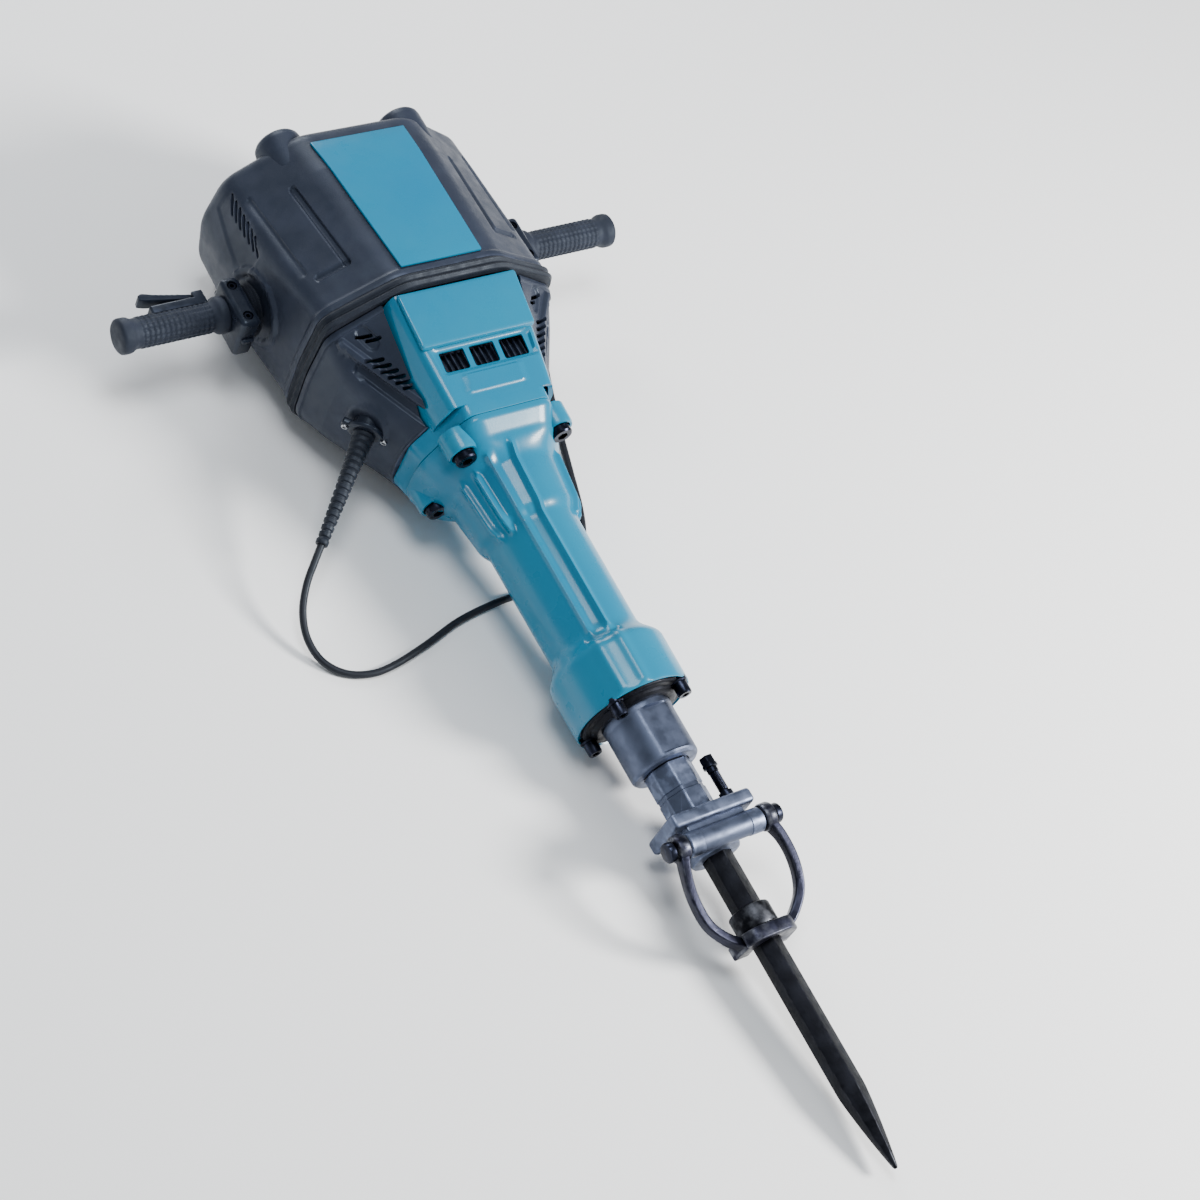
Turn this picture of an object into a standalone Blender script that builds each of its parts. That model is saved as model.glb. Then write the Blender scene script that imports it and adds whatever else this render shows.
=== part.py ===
"""Electric jackhammer with two side handles, a retainer bail and a bull point, lying on its back.

The tool's own axes: X towards the right handle, Y from the bit up to the head, Z to the front.
Every piece is placed in those axes under the empty "tool_axes", which lays the tool on the ground:
its flat back and the rim of its collar touch the plane Z = 0. The cord is placed in world axes.
"""
import math

import bmesh
import bpy
from mathutils import Matrix, Vector

# Rest on the ground
TILT = math.radians(5.2)            # the tool's axis rises this much towards the head
COLLAR_RADIUS = 0.066
GAP = 0.0003                        # between neighbouring pieces

# Head and housings, along the tool's axis
HEAD_TOP = 0.720
SEAM_TOP = 0.4970
SEAM_BOTTOM = 0.4800
COVER_BOTTOM = 0.3550
FLANGE_FACE = 0.3345                # barrel meets gear housing here
WALL = 0.004
CAST_WALL = 0.005
RIM = 0.006                         # straight stretch at a shell's open end

# Hammer mechanism
CRANK_Y = 0.419
CRANK_RADIUS = 0.024
ROD_LENGTH = 0.105
IDLER_Y = 0.500
ROTOR_Y = 0.585
PIN_Y = CRANK_Y - CRANK_RADIUS - ROD_LENGTH
BORE_RADIUS = 0.0232

# Gears: teeth and module
ROTOR_TEETH, IDLER_TEETH, FIRST_MODULE = 13, 55, 0.0025
PINION_TEETH, CRANK_TEETH, SECOND_MODULE = 12, 42, 0.003
TOOTH_PLAY = 0.0006

# Handles
HANDLE_Y = 0.586
HANDLE_Z = -0.016
HANDLE_REACH = 0.315
GRIP_RADIUS = 0.0165

# Switch lever on the left grip
LEVER_X, LEVER_Y = -0.212, 0.610
LEVER_LENGTH = 0.064
LEVER_RISE = math.radians(12)
PLUNGER_X = -0.240

# Nose, retainer and bit
NOSE_END = -0.071
HOLDER_END = -0.176
PIVOT_Y, PIVOT_Z = -0.164, 0.031
SHAFT_RADIUS = 0.0065
EYE_INNER, EYE_OUTER = 0.0475, 0.0605
FORK_TOP, FORK_BOTTOM = -0.2635, -0.2780
BIT_TOP, BIT_TIP = -0.086, -0.528
COLLAR_TOP, COLLAR_BOTTOM = -0.238, -0.2632
HEX_CORNER = 0.0165                 # 28.6 mm across flats
HEX_BORE_CORNER = 0.0172

# Cord, in world axes
CORD_RADIUS = 0.004
GUARD_ROOT = Vector((-0.112, 0.400, 0.004))
GUARD_TIP = Vector((-0.208, 0.298, -0.035))
CORD_ROUTE = [(-0.2082, 0.1984, 0.0578), (-0.2215, 0.1848, 0.0511), (-0.2370, 0.1680, 0.0410),
              (-0.2500, 0.1460, 0.0285), (-0.2550, 0.1210, 0.0165), (-0.2490, 0.0960, 0.0075),
              (-0.2320, 0.0760, 0.0042), (-0.2060, 0.0660, 0.0041), (-0.1750, 0.0680, 0.0041),
              (-0.1300, 0.0800, 0.0041), (-0.0800, 0.0960, 0.0041), (-0.0250, 0.1040, 0.0041),
              (0.0300, 0.1060, 0.0041), (0.0750, 0.1180, 0.0041), (0.1080, 0.1460, 0.0041),
              (0.1290, 0.1850, 0.0041), (0.1480, 0.2400, 0.0041), (0.1720, 0.3100, 0.0041),
              (0.2010, 0.3850, 0.0041), (0.2330, 0.4500, 0.0042), (0.2562, 0.5150, 0.0045),
              (0.2668, 0.5520, 0.0045)]
TAIL_ROUTE = [(0.1495, 0.5250, 0.0270), (0.1512, 0.5140, 0.0240), (0.1540, 0.5020, 0.0200),
              (0.1568, 0.4890, 0.0162), (0.1590, 0.4770, 0.0137), (0.1600, 0.4690, 0.0131),
              (0.1600, 0.4640, 0.0131)]
COIL_CENTRE = (0.202, 0.5655)
COIL_INNER, COIL_OUTER, COIL_HEIGHT = 0.028, 0.0615, 0.0345
PLUG_X, PLUG_REAR, PLUG_Z = 0.160, 0.4637, 0.0131
PIN_SPACING = 0.019

COLOURS = {                         # colour, roughness, metallic
    "black_plastic": ((0.020, 0.021, 0.026), 0.45, 0.0),
    "teal_paint": ((0.010, 0.230, 0.290), 0.30, 0.0),
    "rubber": ((0.016, 0.017, 0.021), 0.75, 0.0),
    "steel": ((0.110, 0.120, 0.150), 0.38, 1.0),
    "dark_steel": ((0.018, 0.020, 0.026), 0.45, 1.0),
    "aluminium": ((0.560, 0.570, 0.580), 0.40, 1.0),
    "copper": ((0.600, 0.240, 0.080), 0.35, 1.0),
    "circuit": ((0.030, 0.160, 0.070), 0.50, 0.0),
}


# ---------------------------------------------------------------- scene and helpers

def clear_scene():
    """Removes whatever the scene holds."""
    for obj in list(bpy.context.scene.objects):
        bpy.data.objects.remove(obj, do_unlink=True)


def collection(name):
    """A new collection in the scene."""
    made = bpy.data.collections.new(name)
    bpy.context.scene.collection.children.link(made)
    return made


clear_scene()
PARTS = collection("electric_jackhammer")
CUTTERS = collection("cutters")
TOOL = bpy.data.objects.new("tool_axes", None)
PARTS.objects.link(TOOL)


def paint(obj, finish):
    """Gives the object its own Principled material."""
    colour, roughness, metallic = COLOURS[finish]
    material = bpy.data.materials.new(obj.name)
    material.use_nodes = True
    shader = material.node_tree.nodes["Principled BSDF"]
    shader.inputs["Base Color"].default_value = (*colour, 1.0)
    shader.inputs["Roughness"].default_value = roughness
    shader.inputs["Metallic"].default_value = metallic
    material.diffuse_color = (*colour, 1.0)
    obj.data.materials.append(material)


def keep(name, data, finish, place=None, parent=TOOL):
    """A named part in the parts collection, at a matrix in its parent's axes."""
    obj = bpy.data.objects.new(name, data)
    PARTS.objects.link(obj)
    obj.parent = parent
    obj.matrix_local = place or Matrix.Identity(4)
    paint(obj, finish)
    return obj


def cutter(data, place=None, parent=TOOL):
    """A hidden tool body for Boolean modifiers."""
    obj = bpy.data.objects.new("cutter", data)
    CUTTERS.objects.link(obj)
    obj.parent = parent
    obj.matrix_local = place or Matrix.Identity(4)
    obj.hide_render = True
    obj.display_type = "WIRE"
    return obj


def boolean(obj, other, operation):
    """Cuts or joins another body, exactly."""
    modifier = obj.modifiers.new(operation.lower(), "BOOLEAN")
    modifier.object = other
    modifier.operation = operation
    modifier.solver = "EXACT"


def cut(obj, data, place=None):
    """Cuts a body in the tool's axes out of the object."""
    boolean(obj, cutter(data, place), "DIFFERENCE")


def join(obj, data, place=None):
    """Joins a body in the tool's axes to the object."""
    boolean(obj, cutter(data, place), "UNION")


def at(x=0.0, y=0.0, z=0.0, axis="Z"):
    """A matrix whose local Z points along the named axis."""
    turn = {"X": Matrix.Rotation(math.pi / 2, 4, "Y"),
            "Y": Matrix.Rotation(-math.pi / 2, 4, "X"),
            "Z": Matrix.Identity(4)}[axis]
    return Matrix.Translation((x, y, z)) @ turn


def along(start, end):
    """A matrix at start whose local Z points to end."""
    turn = (end - start).to_track_quat("Z", "Y").to_matrix().to_4x4()
    return Matrix.Translation(start) @ turn


def mesh_from(bm, smooth=False):
    """A mesh from a bmesh, which is freed."""
    mesh = bpy.data.meshes.new("mesh")
    bm.to_mesh(mesh)
    bm.free()
    if smooth:
        mesh.shade_smooth()
        mesh.set_sharp_from_angle(angle=math.radians(35))
    return mesh


def rod(radius, low, high, sides=20, centre=(0.0, 0.0)):
    """A cylinder along local Z between two heights."""
    bm = bmesh.new()
    middle = Matrix.Translation((centre[0], centre[1], (low + high) / 2))
    bmesh.ops.create_cone(bm, cap_ends=True, segments=sides, radius1=radius, radius2=radius,
                          depth=high - low, matrix=middle)
    return mesh_from(bm, True)


def boxes(spans, bevel=0.0):
    """Boxes, each given as its x, y and z spans, in one mesh."""
    bm = bmesh.new()
    for span in spans:
        size = [high - low for low, high in span]
        middle = [(high + low) / 2 for low, high in span]
        scale = Matrix.Diagonal((*size, 1.0))
        bmesh.ops.create_cube(bm, size=1.0, matrix=Matrix.Translation(middle) @ scale)
    if bevel:
        bmesh.ops.bevel(bm, geom=bm.edges[:], offset=bevel, segments=1, affect="EDGES")
    return mesh_from(bm)


def box(x, y, z, bevel=0.0):
    """One box from its x, y and z spans."""
    return boxes([(x, y, z)], bevel)


def turned(name, profile, finish, place, steps=24, closed=False, parent=TOOL):
    """A turned part. The profile's (radius, height) points run down the outer side."""
    bm = bmesh.new()
    points = [bm.verts.new((radius, 0.0, height)) for radius, height in profile]
    pairs = list(zip(points, points[1:]))
    if closed:
        pairs.append((points[-1], points[0]))
    for pair in pairs:
        bm.edges.new(pair)
    obj = keep(name, mesh_from(bm), finish, place, parent)
    screw = obj.modifiers.new("turn", "SCREW")
    screw.steps = screw.render_steps = steps
    screw.use_merge_vertices = True
    screw.merge_threshold = 0.00005
    screw.use_smooth_shade = True
    return obj


def tube_profile(outer, inner, low, high):
    """A plain ring's closed profile."""
    return [(outer, high), (outer, low), (inner, low), (inner, high)]


def ring_mesh(outer, inner, low, high, steps=20, centre=(0.0, 0.0)):
    """A ring as a closed mesh along local Z."""
    bm = bmesh.new()
    loops = []
    for radius, height in tube_profile(outer, inner, low, high):
        loop = []
        for k in range(steps):
            angle = 2 * math.pi * k / steps
            loop.append(bm.verts.new((centre[0] + radius * math.cos(angle),
                                      centre[1] + radius * math.sin(angle), height)))
        loops.append(loop)
    for a, b in zip(loops, loops[1:] + loops[:1]):
        for k in range(steps):
            n = (k + 1) % steps
            bm.faces.new((a[k], b[k], b[n], a[n]))
    return mesh_from(bm, True)


def loft(rings, cap_low=False, cap_high=False, closed=False):
    """Skins rings of equal count, in ascending order along Y. A closed loft ends in its first ring."""
    bm = bmesh.new()
    loops = [[bm.verts.new(point) for point in ring] for ring in rings]
    count = len(loops[0])
    pairs = list(zip(loops, loops[1:]))
    if closed:
        pairs.append((loops[-1], loops[0]))
    for a, b in pairs:
        for k in range(count):
            n = (k + 1) % count
            bm.faces.new((a[k], a[n], b[n], b[k]))
    if cap_low:
        bm.faces.new(loops[0][::-1])
    if cap_high:
        bm.faces.new(loops[-1])
    bmesh.ops.triangulate(bm, faces=[face for face in bm.faces if len(face.verts) == 4])
    return mesh_from(bm)


def shell(obj, thickness):
    """Thickens an open surface inwards."""
    solid = obj.modifiers.new("wall", "SOLIDIFY")
    solid.thickness = thickness
    solid.offset = -1.0
    solid.use_even_offset = True


def rounded(points, radius, steps=2):
    """A closed outline with each corner replaced by a short curve."""
    out = []
    for k, corner in enumerate(points):
        corner = Vector(corner)
        before = Vector(points[k - 1]) - corner
        after = Vector(points[(k + 1) % len(points)]) - corner
        start = corner + before.normalized() * min(radius, 0.45 * before.length)
        end = corner + after.normalized() * min(radius, 0.45 * after.length)
        for s in range(steps + 1):
            t = s / steps
            out.append(start.lerp(corner, t).lerp(corner.lerp(end, t), t))
    return out


def floor_line(y):
    """Depth of the ground behind the tool's axis at y."""
    return -COLLAR_RADIUS - y * math.tan(TILT)


def section(y, half, front, flat, shoulder, back_half, heel, crown=0.004, back=None, corner=0.014):
    """A housing's outline at y: flat front, slanted cheeks, crowned sides, flat back."""
    back = floor_line(y) if back is None else back
    right = [(flat, front), (half, shoulder), (half + crown, (shoulder + heel) / 2),
             (half, heel), (back_half, back)]
    corners = right + [(-x, z) for x, z in right[::-1]]
    return [Vector((p.x, y, p.y)) for p in rounded(corners, corner)]


def circle_section(y, radius, count=30):
    """A round outline at y with its points in the same order as a housing's section."""
    angles = [2 * math.pi * (k + 1.5) / count for k in range(count)]
    return [Vector((radius * math.sin(a), y, radius * math.cos(a))) for a in angles]


def prism(name, outlines, low, high, finish=None, place=None, parent=TOOL):
    """A flat part between two heights, from its outline and its holes."""
    curve = bpy.data.curves.new("outline", "CURVE")
    curve.dimensions = "2D"
    curve.fill_mode = "BOTH"
    curve.extrude = (high - low) / 2
    for outline in outlines:
        spline = curve.splines.new("POLY")
        spline.points.add(len(outline) - 1)
        for point, (x, y) in zip(spline.points, outline):
            point.co = (x, y, 0.0, 1.0)
        spline.use_cyclic_u = True
    place = (place or Matrix.Identity(4)) @ Matrix.Translation((0.0, 0.0, (low + high) / 2))
    if finish:
        return keep(name, curve, finish, place, parent)
    return solid_from(curve, place)


def solid_from(curve, place=None):
    """A welded mesh of a curve, moved by a matrix."""
    holder = bpy.data.objects.new("holder", curve)
    bpy.context.scene.collection.objects.link(holder)
    graph = bpy.context.evaluated_depsgraph_get()
    mesh = bpy.data.meshes.new_from_object(holder.evaluated_get(graph))
    bpy.data.objects.remove(holder, do_unlink=True)
    bm = bmesh.new()
    bm.from_mesh(mesh)
    bmesh.ops.remove_doubles(bm, verts=bm.verts[:], dist=0.00001)
    bmesh.ops.recalc_face_normals(bm, faces=bm.faces[:])
    bmesh.ops.transform(bm, matrix=place or Matrix.Identity(4), verts=bm.verts[:])
    return mesh_from(bm, True)


def arc(centre, radius, start, end, steps):
    """Points on an arc, angles in degrees."""
    points = []
    for k in range(steps + 1):
        angle = math.radians(start + (end - start) * k / steps)
        points.append((centre[0] + radius * math.cos(angle), centre[1] + radius * math.sin(angle)))
    return points


def hole(centre, radius, steps=20):
    """A round hole's outline."""
    return arc(centre, radius, 0, 360 - 360 / steps, steps - 1)


def rail(points, radius, resolution=2):
    """A round bar along points, as a curve."""
    curve = bpy.data.curves.new("rail", "CURVE")
    curve.dimensions = "3D"
    curve.bevel_depth = radius
    curve.bevel_resolution = resolution
    curve.use_fill_caps = True
    spline = curve.splines.new("POLY")
    spline.points.add(len(points) - 1)
    for point, place in zip(spline.points, points):
        point.co = (*place, 1.0)
    return curve


def smooth_path(points, step):
    """Points about one step apart on a smooth curve through the given ones."""
    knots = [Vector(p) for p in points]
    out = []
    for k in range(len(knots) - 1):
        a, b = knots[k], knots[k + 1]
        before = knots[k - 1] if k else a - (b - a)
        after = knots[k + 2] if k + 2 < len(knots) else b + (b - a)
        count = max(1, round((b - a).length / step))
        for s in range(count):
            t = s / count
            out.append(0.5 * (2 * a + (b - before) * t + (2 * before - 5 * a + 4 * b - after) * t ** 2
                              + (3 * a - before - 3 * b + after) * t ** 3))
    return out + [knots[-1]]


# ---------------------------------------------------------------- housings

def motor_housing():
    """Black upper shell, with corner bumps, side vents and holes for the handle bars."""
    rim = (0.141, 0.1195, 0.060, 0.074, 0.105, -0.070)
    rings = [section(SEAM_TOP, *rim), section(SEAM_TOP + RIM, *rim),
             section(0.580, 0.146, 0.1130, 0.064, 0.060, 0.112, -0.076, 0.009),
             section(0.660, 0.149, 0.1060, 0.069, 0.048, 0.112, -0.078, 0.011),
             section(0.704, 0.148, 0.0990, 0.070, 0.044, 0.110, -0.078, 0.011),
             section(0.715, 0.143, 0.0930, 0.066, 0.040, 0.104, -0.074, 0.010, -0.123),
             section(HEAD_TOP, 0.134, 0.0840, 0.060, 0.034, 0.096, -0.068, 0.009, -0.114)]
    obj = keep("motor_housing", loft(rings, cap_high=True), "black_plastic")
    shell(obj, WALL)
    for side in (-1, 1):
        bump = rod(0.027, 0.690, 0.735, 16)
        join(obj, bump, at(side * 0.076, 0, 0.064, "Y"))
        cut(obj, rod(0.018, 0.12, 0.18, 16), at(0, HANDLE_Y, HANDLE_Z, "X") if side > 0 else
            at(-0.30, HANDLE_Y, HANDLE_Z, "X"))
    slots = []
    for side in (-1, 1):
        for k in range(6):
            y = 0.628 + 0.013 * k
            slots.append(((0.135 * side, 0.175 * side)[::side], (y, y + 0.006), (-0.030, 0.036)))
    cut(obj, boxes(slots))
    return obj


def front_stripe():
    """Teal plate let onto the flat front of the motor housing."""
    rings = []
    for y, half, front in ((0.5075, 0.0500, 0.1192), (0.580, 0.0535, 0.1130), (0.660, 0.0575, 0.1060),
                           (0.698, 0.0595, 0.1000)):
        low, high = front + GAP, front + 0.0028
        rings.append([Vector((-half, y, high)), Vector((half, y, high)),
                      Vector((half, y, low)), Vector((-half, y, low))])
    return keep("front_stripe", loft(rings, True, True), "teal_paint")


def seam_band():
    """Band between the motor housing and the lower cover."""
    low, high = SEAM_BOTTOM + GAP, SEAM_TOP - GAP
    inner = dict(front=0.1140, flat=0.056, shoulder=0.070, back_half=0.098, heel=-0.066)
    outer = dict(front=0.1230, flat=0.061, shoulder=0.077, back_half=0.104, heel=-0.072)
    rings = [section(low, 0.1345, back=-0.103, **inner), section(low, 0.1440, **outer),
             section(high, 0.1440, **outer), section(high, 0.1345, back=-0.103, **inner)]
    return keep("seam_band", loft(rings, closed=True), "black_plastic")


def lower_cover():
    """Black cover round the back and sides of the gear housing, open at the front."""
    bottom = dict(half=0.0920, front=0.0840, flat=0.056, shoulder=0.020, back_half=0.056, heel=-0.045,
                  back=-0.0900)
    top = dict(half=0.1400, front=0.1180, flat=0.058, shoulder=0.064, back_half=0.103, heel=-0.068,
               back=-0.1075)
    rings = [section(COVER_BOTTOM, **bottom), section(COVER_BOTTOM + RIM, **bottom),
             section(0.390, 0.1070, 0.0940, 0.058, 0.026, 0.066, -0.050, back=-0.0970),
             section(0.440, 0.1310, 0.1090, 0.058, 0.042, 0.090, -0.060, back=-0.1040),
             section(SEAM_BOTTOM - RIM, **top), section(SEAM_BOTTOM, **top)]
    obj = keep("lower_cover", loft(rings), "black_plastic")
    shell(obj, WALL)
    slots = []
    for side in (-1, 1):
        for k in range(5):
            y = 0.405 + 0.012 * k
            slots.append(((0.090 * side, 0.108 * side)[::side], (y, y + 0.005), (0.030, 0.115)))
    cut(obj, boxes(slots))
    cut(obj, rod(0.0160, -0.03, 0.03, 16), along(GUARD_ROOT, GUARD_TIP))
    window = loft([[Vector((-0.0745, 0.35, 0.14)), Vector((0.0745, 0.35, 0.14)),
                    Vector((0.0745, 0.35, 0)), Vector((-0.0745, 0.35, 0))],
                   [Vector((-0.0870, 0.49, 0.14)), Vector((0.0870, 0.49, 0.14)),
                    Vector((0.0870, 0.49, 0)), Vector((-0.0870, 0.49, 0))]], True, True)
    cut(obj, window)
    return obj


def gear_housing():
    """Teal casting round the crank, with a flange below and exhaust openings in front."""
    upper = dict(corner=0.008, crown=0.0)
    box_wall = loft([section(0.3480, 0.0732, 0.0868, 0.062, 0.060, 0.056, -0.040, back=-0.062, **upper),
                     section(0.4790, 0.0855, 0.1130, 0.076, 0.085, 0.066, -0.045, back=-0.062, **upper)])
    obj = keep("gear_housing", box_wall, "teal_paint")
    shell(obj, CAST_WALL)
    low, high = FLANGE_FACE, COVER_BOTTOM - 0.0005
    opening = dict(half=0.0660, front=0.0800, flat=0.050, shoulder=0.044, back_half=0.046, heel=-0.032,
                   back=-0.055)
    rings = [section(low, **opening, **upper),
             section(low, 0.0850, 0.0855, 0.050, 0.018, 0.052, -0.044, back=-0.084),
             section(high, 0.0905, 0.0875, 0.050, 0.020, 0.052, -0.044, back=-0.089),
             section(high, **opening, **upper)]
    join(obj, loft(rings, closed=True))
    windows = []
    for k in range(3):
        x = -0.051 + 0.036 * k
        windows.append(((x, x + 0.030), (0.386, 0.410), (0.080, 0.12)))
    cut(obj, boxes(windows))
    return obj


def gear_cover():
    """Raised teal plate on the front of the gear housing, above the exhaust openings."""
    rings = []
    for y, half, front in ((0.4135, 0.0700, 0.1003), (0.4770, 0.0735, 0.1128)):
        low, high = front + GAP, front + 0.0050
        rings.append([Vector((-half, y, high)), Vector((half, y, high)),
                      Vector((half, y, low)), Vector((-half, y, low))])
    return keep("gear_cover", loft(rings, True, True), "teal_paint")


def barrel():
    """Teal barrel from the gear housing down to the collar."""
    rings = [circle_section(y, radius) for y, radius in
             ((0.0, COLLAR_RADIUS), (0.060, COLLAR_RADIUS), (0.074, 0.054), (0.082, 0.0505),
              (0.224, 0.0515), (0.234, 0.0580), (0.290, 0.0640))]
    rings.append(section(0.312, 0.0780, 0.0740, 0.046, 0.016, 0.048, -0.040, back=-0.076))
    for y in (FLANGE_FACE - GAP - RIM, FLANGE_FACE - GAP):
        rings.append(section(y, 0.0850, 0.0855, 0.050, 0.018, 0.052, -0.044, back=-0.084))
    obj = keep("barrel", loft(rings), "teal_paint")
    shell(obj, CAST_WALL)
    return obj


def bearing_plate():
    """Aluminium plate that carries the motor's front end and the gear train."""
    outline = [(-0.060, 0.373), (0.060, 0.373), (0.060, 0.655), (-0.060, 0.655)]
    holes = [hole((0, ROTOR_Y), 0.0153), hole((0, IDLER_Y), 0.0153), hole((0, CRANK_Y), 0.0223)]
    plate = prism("plate", [outline] + holes, 0.059, 0.066)
    obj = keep("bearing_plate", plate, "aluminium")
    join(obj, ring_mesh(0.0275, 0.0223, 0.040, 0.0595, 20, (0, CRANK_Y)))
    return obj


# ---------------------------------------------------------------- motor

def stator():
    """Stator core, field coils, brush holders, rear bracket and the motor's bearings."""
    place = at(0, ROTOR_Y, 0)
    turned("stator_core", tube_profile(0.0620, 0.0385, -0.050, 0.030), "steel", place, closed=True)
    keep("rear_field_coil", ring_mesh(0.058, 0.041, -0.066, -0.0503, 16), "copper", place)
    keep("front_field_coil", ring_mesh(0.058, 0.041, 0.0303, 0.043, 16), "copper", place)
    for side, word in ((-1, "left"), (1, "right")):
        span = (0.0225 * side, 0.050 * side)[::side]
        keep(word + "_brush_holder", box(span, (-0.007, 0.007), (-0.085, -0.071), 0.001), "steel", place)
    outline = [(-0.064, -0.017), (0.064, -0.017), (0.064, 0.017), (-0.064, 0.017)]
    bracket = prism("bracket", [outline, hole((0, 0), 0.0133)], -0.1015, -0.0955, None, place)
    keep("rear_bearing_bracket", bracket, "aluminium")
    keep("rear_motor_bearing", ring_mesh(0.0130, 0.0083, -0.1025, -0.0945, 20), "steel", place)
    keep("front_motor_bearing", ring_mesh(0.0150, 0.0083, 0.0585, 0.0665, 20), "steel", place)


def gear_outline(teeth, module, phase):
    """A spur gear's outline, with one tooth centred at the phase angle."""
    pitch = teeth * module / 2
    base = pitch * math.cos(math.radians(20))
    tip = pitch + 0.92 * module
    root = pitch - 1.25 * module
    play = TOOTH_PLAY / 2 / pitch

    def involute(radius):
        angle = math.acos(min(1.0, base / radius))
        return math.tan(angle) - angle

    points = []
    for k in range(teeth):
        centre = phase + 2 * math.pi * k / teeth
        for radius, side in ((root, -1), (tip, -1), (tip, 1), (root, 1)):
            half = math.pi / 2 / teeth - play + involute(pitch) - involute(max(radius, base))
            angle = centre + side * half
            points.append((radius * math.cos(angle), radius * math.sin(angle)))
    return points


def rotor():
    """Rotor shaft with its pinion, core, commutator and fan."""
    place = at(0, ROTOR_Y, 0)
    shaft = keep("rotor_shaft", rod(0.008, -0.100, 0.0795, 16), "steel", place)
    teeth = prism("teeth", [gear_outline(ROTOR_TEETH, FIRST_MODULE, -math.pi / 2)], 0.079, 0.093)
    join(shaft, teeth, place)
    turned("rotor_core", tube_profile(0.0370, 0.0083, -0.050, 0.030), "steel", place, closed=True)
    turned("commutator", tube_profile(0.0210, 0.0083, -0.089, -0.067), "copper", place, closed=True)
    fan = keep("fan", ring_mesh(0.0460, 0.0083, 0.0465, 0.0490, 18), "black_plastic", place)
    for k in range(8):
        blade = box((0.018, 0.044), (-0.0012, 0.0012), (0.0480, 0.0565))
        join(fan, blade, place @ Matrix.Rotation(math.radians(45 * k), 4, "Z"))


# ---------------------------------------------------------------- gears and hammer mechanism

def gear_train():
    """Intermediate gear and shaft, crank gear, crankshaft and their bearings."""
    idler, crank = at(0, IDLER_Y, 0), at(0, CRANK_Y, 0)
    shaft = keep("intermediate_shaft", rod(0.008, 0.0560, 0.0985, 16), "steel", idler)
    join(shaft, prism("teeth", [gear_outline(PINION_TEETH, SECOND_MODULE, -math.pi / 2)], 0.0675, 0.0785),
         idler)
    big = gear_outline(IDLER_TEETH, FIRST_MODULE, math.pi / 2 + math.pi / IDLER_TEETH)
    prism("intermediate_gear", [big, hole((0, 0), 0.0084)], 0.0800, 0.0920, "steel", idler)
    ring = gear_outline(CRANK_TEETH, SECOND_MODULE, math.pi / 2 + math.pi / CRANK_TEETH)
    prism("crank_gear", [ring, hole((0, 0), 0.0124)], 0.0680, 0.0780, "steel", crank)
    turned("crankshaft", [(0, 0.0792), (0.0120, 0.0792), (0.0120, 0.0245), (0.0340, 0.0245),
                          (0.0340, 0.0095), (0, 0.0095)], "steel", crank)
    cut(bpy.data.objects["crankshaft"], rod(0.0097, 0.005, 0.019, 16), at(0, CRANK_Y - CRANK_RADIUS, 0))
    keep("intermediate_bearing", ring_mesh(0.0150, 0.0083, 0.0585, 0.0665), "steel", idler)
    keep("crank_bearing", ring_mesh(0.0220, 0.0124, 0.0450, 0.0665), "steel", crank)


def connecting_rod():
    """Connecting rod, with the crank pin held in its big end."""
    eye, big = 0.0115, 0.0165
    outline = (arc((0, ROD_LENGTH), big, -65, 245, 16) + [(-0.0065, 0.072), (-0.0060, 0.020)]
               + arc((0, 0), eye, 125, 415, 12) + [(0.0060, 0.020), (0.0065, 0.072)])
    holes = [hole((0, ROD_LENGTH), 0.0094, 16), hole((0, 0), 0.0064, 16)]
    prism("connecting_rod", [outline] + holes, -0.007, 0.007, "steel", at(0, PIN_Y, 0))
    keep("crank_pin", rod(0.0090, -0.0085, 0.0090, 16), "steel", at(0, CRANK_Y - CRANK_RADIUS, 0))


def hammer():
    """Cylinder, piston, striker, impact bolt and the damping counterweight."""
    turned("cylinder", [(0.0480, 0.3180), (0.0480, 0.3100), (0.0290, 0.3080), (0.0290, 0.0303),
                        (BORE_RADIUS, 0.0303), (BORE_RADIUS, 0.3180)], "steel", at(axis="Y"), closed=True)
    piston = turned("piston", [(0.0229, 0.030), (0.0229, -0.018), (0, -0.018), (0, -0.0125),
                               (0.0175, -0.0125), (0.0175, 0.030)], "aluminium", at(y=PIN_Y, axis="Y"),
                    closed=True)
    cut(piston, rod(0.0064, -0.03, 0.03, 16), at(0, PIN_Y, 0))
    keep("piston_pin", rod(0.0060, -0.0222, 0.0222, 16), "steel", at(0, PIN_Y, 0))
    turned("striker", [(0, 0.1650), (0.0215, 0.1650), (0.0229, 0.1635), (0.0229, 0.0765), (0.0180, 0.0750),
                       (0, 0.0750)], "dark_steel", at(axis="Y"))
    turned("impact_bolt", [(0, 0.0650), (0.0205, 0.0650), (0.0210, 0.0630), (0.0210, 0.0306), (0.0170, 0.0306),
                           (0.0170, -0.0190), (0.0150, -0.0205), (0, -0.0205)], "dark_steel", at(axis="Y"))
    turned("counterweight", tube_profile(0.0430, 0.0297, 0.1500, 0.2050), "dark_steel", at(axis="Y"),
           closed=True)
    for word, low in (("lower", 0.1355), ("upper", 0.2135)):
        keep(word + "_spring_ring", ring_mesh(0.042, 0.031, low, low + 0.006), "steel", at(axis="Y"))


# ---------------------------------------------------------------- handles and switch

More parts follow.
